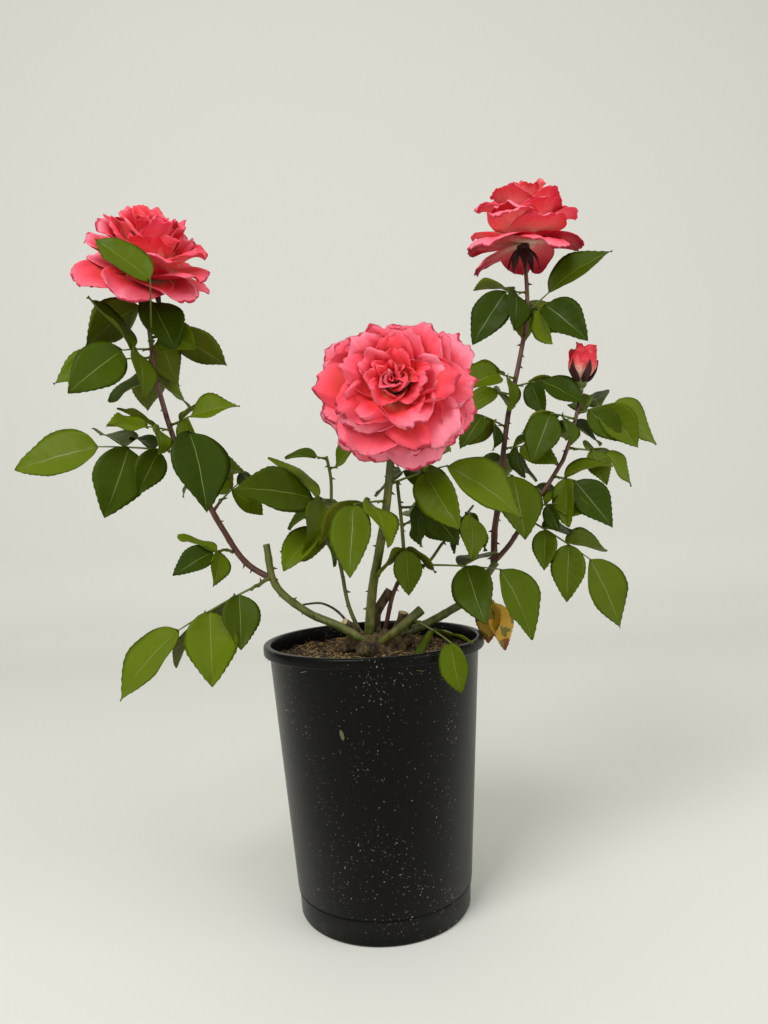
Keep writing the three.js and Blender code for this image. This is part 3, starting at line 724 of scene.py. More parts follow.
# %% Grow the masses
STEM_SIDES = 10
STEM_RINGS = 24
STALK_SIDES = 6
STALK_RINGS = 8
STIPULE = {"length": 9, "width": 4.5, "fold": 25, "curl": 25, "wave": 0.2, "waves": 4}
STIPULE_SPREAD = 0.3
YOUNG_BARKS = {"red": 1, "green": 2}
FINE_SEED = 5000


def leaf_paint(fine, colour):
    top = int(fine(0, len(LEAF_TOPS)))
    under = UNDER + int(fine(0, len(LEAF_UNDERS)))
    if colour != "yellow":
        return plain_paint(top, under, RIB)

    def going_over(across, along):
        patch = ripple(across * 3, along * 4, top)
        if along > 0.82 + 0.2 * patch:
            return BROWN
        return OLIVE if patch > 0.12 else YELLOW

    return {"top": going_over, "under": going_over, "rib": YELLOW}


def add_stalk(bm, stalk):
    def radius_at(share, angle):
        swollen_foot = 1 + 0.6 * max(0, 1 - share / 0.08)
        return swollen_foot * between(STALK_RADII, share)

    add_tube(bm, stalk, radius_at, STALK_SIDES, STALK_RINGS)


def add_stipules(bm, stalk, paint):
    along, face, aside = leaf_frame(stalk, 0.03, 0)
    for side in (-1, 1):
        axis = (along + aside * (STIPULE_SPREAD * side)).normalized()
        place = blade_place(stalk(0.02), axis, face)
        add_leaflet(bm, {**STIPULE, **place}, paint, rows=6, teeth=False)


def grow_mass(spec, sheets, wood):
    curve = walked(smooth_curve(spec["points"]))
    draw, fine = draws(spec["seed"]), draws(spec["seed"] + FINE_SEED)
    bark = YOUNG_BARKS[spec["bark"]]
    add_tube(wood, curve, lambda s, a: between(spec["radii"], s), STEM_SIDES, STEM_RINGS, bark)
    add_prickles(wood, curve, spec["radii"], spec["seed"] + PRICKLE_SEED)
    for plan in spec["leaves"]:
        stalk, blades = grow_leaf(curve(plan["at"]), plan, draw, fine)
        add_stalk(wood, stalk)
        add_stipules(sheets, stalk, leaf_paint(fine, spec["colour"]))
        for blade in blades:
            add_leaflet(sheets, blade, leaf_paint(fine, spec["colour"]))


print("mass rule ready")

# %% [markdown]
# Rose bark is smooth and green on a cane of this year, red-brown on young shoots in the sun,
# and grey-brown and cracked where it is years old. Green and red barks get streaks drawn out
# along the plant, old bark a coarse cracked bump.

# %% Bark finishes
# The grain of a bark: how many cells to a metre, how far they are drawn out, and their depth.
STREAKS = (1 / 0.006, 0.3, 0.0002)
CRACKS = (1 / 0.004, 0.5, 0.0012)
MOTTLE_LIMITS = (0.35, 0.68)


def mottle(material, dark, light, scale, stretch, relief):
    tree = material.node_tree
    shader = tree.nodes["Principled BSDF"]
    place = add_node(tree, "ShaderNodeTexCoord").outputs["Object"]
    drawn_out = add_node(tree, "ShaderNodeMapping", {"Vector": place, "Scale": (1, 1, stretch)})
    grain = add_node(tree, "ShaderNodeTexNoise", {
        "Vector": drawn_out.outputs["Vector"], "Scale": scale, "Detail": 6,
    })
    ramp = add_node(tree, "ShaderNodeValToRGB", {"Fac": grain.outputs["Fac"]})
    for element, position, colour in zip(ramp.color_ramp.elements, MOTTLE_LIMITS, (dark, light)):
        element.position = position
        element.color = linear(colour)
    tree.links.new(ramp.outputs["Color"], shader.inputs["Base Color"])
    bump = add_node(tree, "ShaderNodeBump", {"Distance": relief, "Height": grain.outputs["Fac"]})
    tree.links.new(bump.outputs["Normal"], shader.inputs["Normal"])
    return material


def mottled(name, colour, roughness, dark, light, grain=STREAKS):
    return mottle(new_material(name, colour, roughness), dark, light, *grain)


# Wood some years old: matt, grey-brown and cracked.
old_bark = mottled("old_cracked_bark", 0x3E2F1C, 0.85, 0x20180D, 0x66532F, CRACKS)
# Young skin in the sun: smooth and maroon.
red_bark = mottled("red_young_bark", 0x522A1C, 0.5, 0x3E1B12, 0x643F26)
# A cane of this year: smooth and green, with brown streaks.
green_bark = mottled("green_cane_bark", 0x56611A, 0.5, 0x434E12, 0x6E6C28)
# Prickles are corky and paler than the cane.
prickle_cork = new_material("corky_prickle", 0x5E3B28, 0.6)
cut_wood = new_material("weathered_cut_wood", 0xB49A70, 0.8)
BARK_MATERIALS = [old_bark, red_bark, green_bark, prickle_cork, cut_wood]
OLD, RED, GREEN, CUT = 0, 1, 2, 4
print("barks", len(BARK_MATERIALS))

# %% [markdown]
# The canes, shoots and cut stubs each run through a few points and taper evenly. The bark's
# relief is pressed into the grid as it is rolled up: slow bulges, and a swelling at each old
# leaf joint. A stub ends in a flat pale cut, as secateurs leave it.

# %% Canes
JOINT_SPACING = 24
JOINT_SWELL = 0.1
JOINT_LENGTH = 2.2
CANE_SIDES = 16
CANE_RING_SPACING = 1.3
ROUGHNESS = {OLD: 0.12, RED: 0.05, GREEN: 0.05}
FIRST_CANE_SEED = 21


def limb(name, bark, radii, points, cut=False):
    return {"name": name, "bark": bark, "radii": radii, "points": points, "cut": cut}


LIMBS = [
    limb("front_stub", OLD, (4.2, 3.7), [(-8, -6, 240), (-17, -13, 250), (-25, -20, 258)],
         cut=True),
    limb("middle_stub", OLD, (4.6, 4.2), [(2, 2, 244), (4, 6, 262), (17, 10, 281)], cut=True),
    limb("right_stub", OLD, (5, 4.4), [(18, 0, 240), (25, -4, 252), (28, -6, 262)], cut=True),
    limb("outer_stub", GREEN, (3.4, 4.6), [(6, -14, 237), (20, -18, 247), (33, -14, 256),
         (44, -10, 264)], cut=True),
    limb("left_cane", GREEN, (3.8, 3.1), [(-3, -14, 236), (-12, -25, 244), (-30, -22, 255),
         (-58, -17, 268), (-85, -16, 293), (-92, -14, 330)], cut=True),
    limb("left_shoot", RED, (2.8, 2.5), [(-84, -16, 296), (-112, -12, 315), (-132, -10, 347),
         (-145, -8, 372)]),
    limb("centre_cane", GREEN, (4.5, 3.9), [(-4, -4, 244), (1, -8, 284), (7, -20, 311),
         (13, -36, 338)]),
    limb("right_cane", GREEN, (4.1, 3.5), [(18, 2, 240), (43, 14, 245), (72, 24, 257),
         (95, 30, 270), (120, 36, 300)]),
    limb("right_shoot", RED, (3.4, 2.9), [(118, 36, 296), (122, 46, 331), (129, 52, 360)]),
    limb("bud_shoot", RED, (2.6, 2.3), [(119, 36, 301), (133, 33, 316), (144, 30, 332)]),
    limb("inner_left_shoot", GREEN, (2, 1.7), [(-10, 3, 238), (-22, 10, 268), (-27, 14, 298),
         (-31, 14, 325)]),
    limb("inner_centre_shoot", RED, (2.2, 1.9), [(9, 5, 238), (19, 7, 276), (30, 0, 298)]),
    limb("side_twig", GREEN, (1.6, 1.3), [(27, 2, 292), (52, 8, 304), (68, 14, 322),
         (84, 20, 338)]),
    limb("dry_twig", OLD, (1.4, 0.9), [(-16, 0, 242), (-30, 4, 262), (-46, 6, 272), (-64, 6, 272)]),
]


def bark_relief(radii, length, bark, seed):
    rough = ROUGHNESS[bark]

    def radius_at(share, angle):
        along = share * length
        x, y = math.cos(angle), math.sin(angle)
        slow = ripple(x, y, along / 9 + seed)
        fine = ripple(2.6 * x, 2.6 * y, along / 3 + seed)
        bulge = rough * (slow + 0.5 * fine)
        gap = (along + seed) % JOINT_SPACING - JOINT_SPACING / 2
        swell = JOINT_SWELL * math.exp(-((gap / JOINT_LENGTH) ** 2))
        return between(radii, share) * (1 + bulge + swell * math.cos(angle + seed) ** 2)

    return radius_at


def add_cane(bm, spec, seed):
    curve = walked(smooth_curve(spec["points"]))
    length = curve_length(curve)
    rings = max(6, int(length / CANE_RING_SPACING))
    relief = bark_relief(spec["radii"], length, spec["bark"], seed)
    caps = add_tube(bm, curve, relief, CANE_SIDES, rings, spec["bark"])
    tip = curve(1)
    for cap in caps:
        if spec["cut"] and (cap.calc_center_median() - tip).length < spec["radii"][1]:
            cap.material_index = CUT
    if spec["bark"] != OLD:
        add_prickles(bm, curve, spec["radii"], seed + PRICKLE_SEED)


def add_canes():
    bm = new_shape()
    for index, spec in enumerate(LIMBS):
        add_cane(bm, spec, FIRST_CANE_SEED + index)
    names = [spec["name"] for spec in LIMBS]
    return finish_piece("canes_and_stubs", bm, BARK_MATERIALS, names)


add_canes()

# %% [markdown]
# The union is the swollen joint where the rose was budded on to its rootstock, a clump of
# knobs after years of pruning. It is made as in clay: balls are pressed together, a voxel
# remesh melts them into one skin, and noise roughens it.

# %% Bud union
UNION_FLARE = ((0, 24), (3, 19), (8, 16), (13, 13), (18, 8))
UNION_FOOT = 226.4
UNION_MIDDLE = (2, -2)
UNION_OVERLAP = 0.4
UNION_KNOBS = (
    ((-19, -6, 237), 7.5), ((-4, -8, 235), 9), ((18, 0, 236), 8), ((31, 3, 235), 6.5),
    ((3, -16, 230), 6.5), ((-12, 4, 238), 6), ((7, 5, 240), 6.5), ((24, -7, 231), 5),
    ((-27, -5, 230), 4.5), ((12, -6, 242), 5.5), ((-7, -24, 234), 9),
)
UNION_VOXEL = 1.2
UNION_RELIEF = 1.8
UNION_GRAIN = 5


def melted(obj):
    remesh = obj.modifiers.new("melt", "REMESH")
    remesh.mode = "VOXEL"
    remesh.voxel_size = UNION_VOXEL * MM
    smooth = obj.modifiers.new("soften", "SMOOTH")
    smooth.factor = 0.6
    smooth.iterations = 4
    view = bpy.context.evaluated_depsgraph_get()
    mesh = bpy.data.meshes.new_from_object(obj.evaluated_get(view))
    bm = bmesh.new()
    bm.from_mesh(mesh)
    bpy.data.meshes.remove(mesh)
    bpy.data.objects.remove(obj)
    return bm


def add_union():
    bm = bmesh.new()
    for (low, wide), (high, narrow) in zip(UNION_FLARE, UNION_FLARE[1:]):
        depth = high - low + UNION_OVERLAP
        cone = bmesh.ops.create_cone(
            bm, cap_ends=True, segments=24, radius1=wide, radius2=narrow, depth=depth,
        )
        middle = (*UNION_MIDDLE, UNION_FOOT + (low + high) / 2)
        bmesh.ops.translate(bm, verts=cone["verts"], vec=middle)
    for centre, radius in UNION_KNOBS:
        add_ball(bm, Vector(centre), UP, (radius, radius, radius), 0)
    bmesh.ops.scale(bm, vec=(MM, MM, MM), verts=bm.verts)
    skin = melted(add_object("clay", bm, []))
    skin.normal_update()
    for vert in skin.verts:
        push = noise.fractal(vert.co / (UNION_GRAIN * MM), 0.8, 2.2, 4)
        vert.co += vert.normal * (push * UNION_RELIEF * MM)
        vert.co.z = max(vert.co.z, UNION_FOOT * MM)
    for face in skin.faces:
        face.smooth = True
    bmesh.ops.scale(skin, vec=(1 / MM, 1 / MM, 1 / MM), verts=skin.verts)
    return finish_piece("union_wood", skin, [old_bark], ["bud_union"])


add_union()

# %% [markdown]
# Now the masses are grown on from the canes, with their blades in three pieces, left, middle
# and right, and the stems, stalks and prickles in one more.

# %% Grow the foliage
SIDES = {
    "left_leaves": ("left_",),
    "middle_leaves": ("inner_", "centre_", "side_", "low_"),
    "right_leaves": ("right_", "bud_", "yellow_"),
}


def add_foliage():
    wood = new_shape()
    for piece, starts in SIDES.items():
        sheets = new_shape()
        members = [spec for spec in FOLIAGE if spec["name"].startswith(starts)]
        for spec in members:
            grow_mass(spec, sheets, wood)
        finish_piece(piece, sheets, LEAF_MATERIALS, [spec["name"] for spec in members])
    finish_piece("young_stems", wood, YOUNG_MATERIALS)


YOUNG_MATERIALS = [young_stem, red_bark, green_bark, prickle_cork]
add_foliage()

# %% [markdown]
# Petals are creamy at the foot and coral pink above, with deeper lips and crimson backs. Each
# face takes one of a few plain tints by its place along the petal, and a little noise
# dithers the joins, which reads as the real petal's fine mottling. The backs come in a paler
# set, painted as lit, and a crimson set that is partly painted shade, for the outer rings.

# %% Petal finishes
PETAL_INSIDE = (0xFCE3D2, 0xFBC0AC, 0xF88470, 0xF6524A, 0xF74452, 0xF84F62, 0xF8667A, 0xF98498)
PETAL_RIM = 0xCF3A52
# Backs: a paler set painted as lit, and a deeper crimson set that is partly painted shade.
PETAL_BACK_LIT = (0xFBE3D2, 0xFAB8AA, 0xF6807E, 0xF25762, 0xEA3F5C)
PETAL_BACK_CRIMSON_AND_SHADE = (0xF4C2AE, 0xE4625C, 0xD6303F, 0xC41C31, 0xA8122A)
INSIDE_SHADES = 20
BACK_SHADES = 10


def petal_material(name, colour):
    """Petals are velvety: matt, with a little light passing through them."""
    return new_material(name, colour, 0.6, Specular_IOR_Level=0.25, Subsurface_Weight=0.1,
                        Subsurface_Scale=0.002)


def blended(keys, share):
    """The colour at one share of the way along a few key colours."""
    place = share * (len(keys) - 1)
    first = min(int(place), len(keys) - 2)
    part = place - first
    channels = []
    for shift in (16, 8, 0):
        before, after = ((key >> shift) & 255 for key in keys[first:first + 2])
        channels.append(round(before + (after - before) * part) << shift)
    return sum(channels)


def petal_shades(name, keys, count):
    return [petal_material(f"{name}_{i + 1}", blended(keys, i / (count - 1))) for i in range(count)]


inside = petal_shades("petal_inside", PETAL_INSIDE, INSIDE_SHADES)
back_lit = petal_shades("petal_back_lit", PETAL_BACK_LIT, BACK_SHADES)
back_crimson_and_shade = petal_shades("petal_back_crimson_and_shade", PETAL_BACK_CRIMSON_AND_SHADE, BACK_SHADES)
petal_rim = petal_material("petal_rim", PETAL_RIM)
hip_green = new_material("green_hip", 0x4F5A22, 0.45)
BLOOM_MATERIALS = [*inside, *back_lit, *back_crimson_and_shade, hip_green, sepal_red, petal_rim]
BACK_LIT = len(inside)
BACK_CRIMSON_AND_SHADE = BACK_LIT + len(back_lit)
HIP = BACK_CRIMSON_AND_SHADE + len(back_crimson_and_shade)
SEPAL_TINT = HIP + 1
RIM = HIP + 2
print("bloom finishes", len(BLOOM_MATERIALS))

# %% [markdown]
# A rose petal is narrow at its foot, broad at its shoulder and blunt at its lip. Seen from
# the side it rises from the heart, leans out and rolls back. The side view is worked out
# first, in short steps along it, so that a petal keeps its length however it curls.

# %% Petal outline
PETAL_ROWS = 24
PETAL_ROOT_RADIUS = 4
LIP_START = 0.7


def petal_half_width(share):
    rise = math.sin(0.5 * math.pi * min(1, share / 0.6)) ** 0.8
    shoulder = max(0, (share - 0.6) / 0.4)
    return (0.14 + 0.86 * rise) * (1 - 0.3 * shoulder ** 2)


def petal_path(spec):
    spots = [(PETAL_ROOT_RADIUS, spec["lift"], math.radians(spec["foot"]))]
    step = spec["length"] / PETAL_ROWS
    for row in range(1, PETAL_ROWS + 1):
        share = row / PETAL_ROWS
        rolled = max(0, (share - LIP_START) / (1 - LIP_START)) ** 1.5
        lean = spec["foot"] + (spec["lip"] - spec["foot"]) * share + spec["roll"] * rolled
        angle = math.radians(lean)
        out, up, _ = spots[-1]
        spots.append((out + step * math.sin(angle), up + step * math.cos(angle), angle))
    return spots


def petal_between(path, share):
    row = min(int(share * PETAL_ROWS), PETAL_ROWS - 1)
    part = share * PETAL_ROWS - row
    return [a + (b - a) * part for a, b in zip(path[row], path[row + 1])]


print("petal at its foot and shoulder", petal_half_width(0), petal_half_width(0.6))

# %% [markdown]
# One rule makes every petal: a grid is wrapped round the bloom's axis, leans out from foot to
# lip, rolls at its lip and ruffles at its rim. Each petal starts inside its neighbour and
# ends outside it, as in a real bloom.

# %% Petal
PETAL_COLUMNS = 26
PETAL_THICKNESS = 0.5
WRAP_LIMIT = 1.7
SCALLOP = 0.018
NOTCHES = (-0.04, 0.06)
NOTCH_WIDTH = 0.16
RIM_BITE = 0.036
CORNER_CUT = 0.17
TILT = 1.5
CRINKLE = 2.6
STREAK_TINT = 0.06
PATCH_TINT = 0.14
# Petals that start higher than this belong to the heart, whose lips have no dark rim.
HEART_LIFT = 8


def add_petal(bm, bloom, spec, draw):
    axis, right, up = bloom["frame"]
    path = petal_path(spec)
    phase, frill = draw(0, 6.3), draw(3, 5.5)
    tilt, seed, notch = draw(-1, 1), draw(0, 99), max(0, draw(*NOTCHES))

    def place(across, share, face):
        a = 2 * across - 1
        bite = SCALLOP * math.sin(frill * 1.4 * a + phase)
        bite += notch * math.exp(-(a / NOTCH_WIDTH) ** 2)
        bite += RIM_BITE * ripple(across * 15, seed, 0)
        reached = share * (1 - CORNER_CUT * abs(a) ** 2.6 - bite * share ** 3)
        out_by, up_by, lean = petal_between(path, max(0, min(1, reached)))
        half = 0.5 * spec["width"] * petal_half_width(share)
        angle = spec["turn"] + a * min(WRAP_LIMIT, half / max(out_by, 1))
        out = right * math.cos(angle) + up * math.sin(angle)
        inner = axis * math.sin(lean) - out * math.cos(lean)
        wave = math.sin(frill * a + phase) + 0.45 * math.sin(1.9 * frill * a + 2 * phase)
        ruffle = spec["ruffle"] * wave * share ** 3
        crease = CRINKLE * ripple(across * 10, share * 4, seed) * share ** 1.5
        cup = spec["cup"] * (a * a) * math.sin(math.pi * share)
        shift = (bloom["overlap"] + TILT * tilt) * a * share + ruffle + crease + cup
        on_rim = abs(a) > 0.999 or share < 0.001 or share > 0.999
        skin = 0 if on_rim else 0.5 * face * PETAL_THICKNESS
        return bloom["centre"] + axis * up_by + out * out_by + inner * (shift + skin)

    def tint(across, along, steps, bias):
        streak = ripple(across * 9, along * 3, seed)
        patch = ripple(across * 2, along * 2, seed + 50)
        value = along + bias + STREAK_TINT * streak + PATCH_TINT * patch
        return max(0, min(steps - 1, int(value * steps)))

    def inside_at(across, along):
        at_lip = spec["lift"] < HEART_LIFT and along > 1 - 1 / PETAL_ROWS
        if at_lip and ripple(across * 6, seed, 9) > 0:
            return RIM
        return tint(across, along, INSIDE_SHADES, spec["bias"])

    def back_at(across, along):
        return spec["back"] + tint(across, along, BACK_SHADES, spec["bias"] + bloom["deepen"])

    add_sheet(bm, PETAL_COLUMNS, PETAL_ROWS, place, inside_at, back_at)


print("petal sheet", PETAL_COLUMNS, "by", PETAL_ROWS)

# %% [markdown]
# A bloom is ring inside ring. From the outside in, petals get fewer, shorter and narrower,
# rise from flat to upright and close their lips. A habit names these sizes at the outermost
# ring and at the heart, and one rule fills in the rings between. The open habit faces the
# viewer, the cup and the globe show their backs, and the bud's three rings lean inwards.

# %% Habits of the blooms
OPEN_SEPALS = {"length": 27, "opening": 128, "curl": 40}
BUD_SEPALS = {"length": 27, "opening": 62, "curl": -74}
OPEN = {"rings": 10, "petals": (6.4, 3), "length": (63, 30), "width": (69, 14), "foot": (90, -3),
        "lip": (98, -9), "closing": 1, "roll": 65, "ruffle": 4.8}
CUP = {"rings": 7, "petals": (5.4, 3), "length": (62, 50), "width": (67, 20), "foot": (88, 2),
       "lip": (106, -8), "closing": 0.45, "roll": 95, "ruffle": 2.8}
GLOBE = {"rings": 8, "petals": (5.6, 3), "length": (60, 50), "width": (74, 30), "foot": (84, 6),
         "lip": (96, -14), "closing": 0.36, "roll": 75, "ruffle": 2.6}
FURLED = {"rings": 3, "petals": (3, 3), "length": (33, 26), "width": (44, 22), "foot": (66, 32),
          "lip": (-34, -30), "closing": 1, "roll": 60, "ruffle": 1}
# The hanging petal is in shadow, so its back takes the crimson set, partly painted shade.
HANGING_PETAL = {"count": 1, "length": 56, "width": 54, "foot": 104, "lip": 134, "roll": 20,
                 "ruffle": 1.8, "lift": 2, "back": BACK_CRIMSON_AND_SHADE}
USUAL = {"size": 1, "first": 0, "deepen": 0, "oval": 1, "overlap": 2.2, "hip": (6.5, 6),
         "skin": SEPAL_TINT, "sepals": OPEN_SEPALS, "hanging": []}


def flower(name, seed, neck, at, radii, heading, rise, habit, deep, **own):
    """Its neck runs from neck to at, and its outermost rings, as many as deep, have crimson backs
    that are partly painted shade.
    """
    return {**USUAL, "name": name, "seed": seed, "neck": neck, "at": at, "radii": radii,
            "heading": heading, "rise": rise, "habit": habit, "deep": deep, **own}


FLOWERS = (
    flower("left_bloom", 201, (-195, 5, 562), (-195, 6, 577), (2.2, 3.2), 296, 54, GLOBE, 2,
           first=96, deepen=0.08, bias=0.03),
    flower("front_bloom", 202, (26, -62, 425), (31, -70, 450), (3.6, 4), 264, 10, OPEN, 1,
           size=1.09, bias=0.1, skin=HIP, oval=0.93),
    flower("right_bloom", 203, (172, 83, 600), (171, 84, 619), (2.3, 3.2), 280, 84, CUP, 1,
           size=0.98, first=-92, bias=0.02, hanging=[HANGING_PETAL]),
    flower("rose_bud", 204, (214, 50, 462), (215, 51, 472), (2, 2.6), 300, 80, FURLED, 3,
           bias=-0.1, skin=HIP, hip=(5.5, 7), overlap=1.2, sepals=BUD_SEPALS),
)
print("blooms", [spec["name"] for spec in FLOWERS])

# %% [markdown]
# Petals spiral out from the heart, so each ring is turned from the last one by the golden
# angle, and no petal hides straight behind another. Every petal then strays a little in its
# lean, length, width, roll and tint, or the bloom would look stamped. Rings higher in the
# heart are painted paler, as painted light where the front light reaches into it.

# %% Rings of petals
GOLDEN_ANGLE = 2.39996
# Paler tints for higher rings: painted light on the heart, by how high a ring starts.
HEART_PAINTED_LIGHT = 0.028
PETAL_LIFTS = (3, 12)
LEAN_STRAY = 8
LIP_STRAY = 5
LENGTH_STRAY = (0.9, 1.07)
WIDTH_STRAY = (0.92, 1.1)
ROLL_STRAY = (0.6, 1.4)
CUP_DEPTHS = (0.5, 3)
TINT_STRAY = 0.13


def bloom_frame(heading, rise, oval):
    axis = bearing(heading, rise)
    right = axis.cross(UP).normalized()
    return axis, right, right.cross(axis) * oval


def ring_sizes(habit, share):
    swell = math.sin(math.pi * (0.2 + 0.7 * share))
    late = share ** 1.5
    return {
        "count": round(between(habit["petals"], late)),
        "length": between(habit["length"], late),
        "width": between(habit["width"], late),
        "foot": between(habit["foot"], share),
        "lip": between(habit["lip"], share ** habit["closing"]),
        "roll": habit["roll"] * swell,
        "ruffle": habit["ruffle"] * swell,
        "lift": between(PETAL_LIFTS, share),
        # Rings take the paler backs, painted as lit, unless they are among the outermost.
        "back": BACK_LIT,
    }


def bloom_rings(bloom):
    last = bloom["habit"]["rings"] - 1
    rings = [ring_sizes(bloom["habit"], i / last) for i in range(last + 1)]
    # The outermost rings hang in shadow, so their backs are crimson, partly painted shade.
    for ring in rings[:bloom["deep"]]:
        ring["back"] = BACK_CRIMSON_AND_SHADE
    return bloom["hanging"] + rings


def add_ring(bm, bloom, ring, turn, draw):
    size = bloom["size"]
    for petal in range(ring["count"]):
        lean = draw(-LEAN_STRAY, LEAN_STRAY)
        add_petal(bm, bloom, {
            **ring,
            "length": ring["length"] * size * draw(*LENGTH_STRAY),
            "width": ring["width"] * size * draw(*WIDTH_STRAY),
            "foot": ring["foot"] + lean,
            "lip": ring["lip"] + lean + draw(-LIP_STRAY, LIP_STRAY),
            "roll": ring["roll"] * draw(*ROLL_STRAY),
            "turn": turn + 2 * math.pi * (petal + draw(-0.2, 0.2)) / ring["count"],
            "cup": draw(*CUP_DEPTHS),
            # Higher rings are painted paler: painted light on the heart.
            "bias": bloom["bias"] + draw(-TINT_STRAY, TINT_STRAY) - HEART_PAINTED_LIGHT * ring["lift"],
        }, draw)


for spec in FLOWERS:
    print(spec["name"], "petals", sum(ring["count"] for ring in bloom_rings(spec)))

# %% [markdown]
# Five narrow sepals wrap a bud. On the open blooms they fold back towards the stem, and on
# the bud here they still clasp it. They are the leaflet's sheet over again, slim and without
# teeth, so they need no shape of their own.

# %% Sepals
SEPALS = 5
SEPAL_STAND = 3
SEPAL = {"width": 9, "fold": 10, "wave": 0.4, "waves": 6}


def add_sepals(bm, bloom, length, opening, curl):
    axis, right, up = bloom["frame"]
    paint = plain_paint(SEPAL_TINT, SEPAL_TINT, SEPAL_TINT)
    lean = math.radians(opening)
    for i in range(SEPALS):
        turn = 2 * math.pi * i / SEPALS
        out = right * math.cos(turn) + up * math.sin(turn)
        aim = axis * math.cos(lean) + out * math.sin(lean)
        normal = axis * math.sin(lean) - out * math.cos(lean)
        base = bloom["centre"] + out * SEPAL_STAND - axis
        blade = {**SEPAL, "length": length, "curl": curl, "base": base, "axis": aim,
                 "normal": normal, "side": aim.cross(normal)}
        add_leaflet(bm, blade, paint, rows=12, teeth=False)


# %% [markdown]
# Each bloom is one mesh with its neck, hip and sepals, because it takes the place of one
# solid. Its neck is a short tube on from the end of the shoot, and its hip a stretched ball.

# %% Blooms
def add_bloom(spec):
    bm = new_shape()
    draw = draws(spec["seed"])
    centre = Vector(spec["at"])
    frame_axes = bloom_frame(spec["heading"], spec["rise"], spec["oval"])
    bloom = {**spec, "frame": frame_axes, "centre": centre}
    turn = math.radians(spec["first"])
    for ring in bloom_rings(bloom):
        turn += GOLDEN_ANGLE
        add_ring(bm, bloom, ring, turn, draw)
    neck = smooth_curve((spec["neck"], spec["at"]))
    add_tube(bm, neck, lambda s, a: between(spec["radii"], s), 12, 6, spec["skin"])
    thick, tall = spec["hip"]
    add_ball(bm, centre, frame_axes[0], (thick, thick, tall), spec["skin"])
    add_sepals(bm, bloom, **spec["sepals"])
    finish_piece(spec["name"] + "_petals", bm, BLOOM_MATERIALS, [spec["name"]])


for spec in FLOWERS:
    add_bloom(spec)

# %% [markdown]
# The pot is injection-moulded, with a stiff rim band, an even taper and a foot that steps in
# behind a shallow groove. Its half-profile is one line, spun round the axis. Splashed specks
# of compost are a pattern in the finish, because their thickness doesn't show.

# %% Pot
POT_PROFILE = (
    (0, 0), (74, 0), (75.8, 0.6), (76.7, 2.2), (77.6, 20.6), (78.5, 21.2), (78.6, 22), (78, 22.4),
    (78.9, 23.6), (94.5, 229.6), (95.2, 230.8), (98.6, 231), (99.6, 231.5), (100, 232.6),
    (100, 237.8), (99.5, 239.3), (98.2, 240), (95, 240), (93.9, 239.4), (93.5, 238.4),
    (93.2, 231), (92.4, 226), (91.4, 214), (0, 214),
)
POT_STEPS = 128
NICK_PLACE = Vector((-27.3, -86.4, 177.4))
NICK_RADII = (1.7, 4.4, 0.9)
NICK_TILT = 0.25
SPECK_SIZE = 0.0015
PATCH_SIZE = 0.05


def spun(profile, steps, material=0):
    bm = bmesh.new()
    verts = [bm.verts.new((radius, 0, height)) for radius, height in profile]
    edges = [bm.edges.new(pair) for pair in zip(verts, verts[1:])]
    bmesh.ops.spin(
        bm, geom=verts + edges, cent=(0, 0, 0), axis=(0, 0, 1), angle=2 * math.pi,
        steps=steps, use_merge=True,
    )
    bmesh.ops.remove_doubles(bm, verts=bm.verts, dist=WELD)
    bmesh.ops.recalc_face_normals(bm, faces=bm.faces)
    for face in bm.faces:
        face.smooth = True
        face.material_index = material
    return bm


def dusty(material, clean, dust):
    # Specks are about a millimetre across, and thicker in soft patches some 50 mm wide.
    tree = material.node_tree
    spot = add_node(tree, "ShaderNodeTexCoord").outputs["Object"]
    grains, patches = (
        add_node(tree, "ShaderNodeTexNoise", {"Vector": spot, "Scale": 1 / size, "Detail": 3})
        for size in (SPECK_SIZE, PATCH_SIZE)
    )
    limit = add_node(tree, "ShaderNodeMapRange", {
        "Value": patches.outputs["Fac"],
        "From Min": 0.35, "From Max": 0.7, "To Min": 0.73, "To Max": 0.67,
    })
    speck = add_node(tree, "ShaderNodeMath", {
        "operation": "GREATER_THAN", 0: grains.outputs["Fac"], 1: limit.outputs["Result"],
    })
    mix = add_node(tree, "ShaderNodeMix", {
        "data_type": "RGBA", "Factor": speck.outputs[0], 6: linear(clean), 7: linear(dust),
    })
    tree.links.new(mix.outputs[2], tree.nodes["Principled BSDF"].inputs["Base Color"])


def add_nick(bm):
    out = Vector((NICK_PLACE.x, NICK_PLACE.y, 0)).normalized()
    ball = bmesh.ops.create_uvsphere(bm, u_segments=20, v_segments=12, radius=1)
    turn = facing(out) @ Matrix.Rotation(NICK_TILT, 4, "Z") @ Matrix.Diagonal((*NICK_RADII, 1))
    shape_solid(bm, ball["verts"], Matrix.Translation(NICK_PLACE) @ turn, 1)


POT_BLACK = 0x080806
POT_DUST = 0xA8A08A
pot_plastic = new_material("moulded_polypropylene", POT_BLACK, 0.3, Specular_IOR_Level=0.1)
dusty(pot_plastic, POT_BLACK, POT_DUST)
crusted_mud = new_material("crusted_mud", 0x5E543E, 0.9)
pot_shape = spun(POT_PROFILE, POT_STEPS)
add_nick(pot_shape)
finish_piece("moulded_pot", pot_shape, [pot_plastic, crusted_mud], ["pot"])

# %% [markdown]
# Old compost settles to a rough brown bed. It is a spun disc whose top is pushed up and down
# by noise, with a rise round the foot of the bush and a dip behind it on the right.

# %% Compost bed
BED_LEVEL = 226
BED_RADIUS = 91.4
BED_DEPTH = 10
BED_RINGS = 56
BED_RELIEF = 2.56
BED_GRAIN = 14
# Each rise or dip: its centre, its reach along X and Y, and its height.
BED_DOMES = (((0, 0), (42, 42), 2.2), ((48, 46), (24, 22), -5))
PEAT_GRAIN = (1 / 0.006, 1, 0.0015)


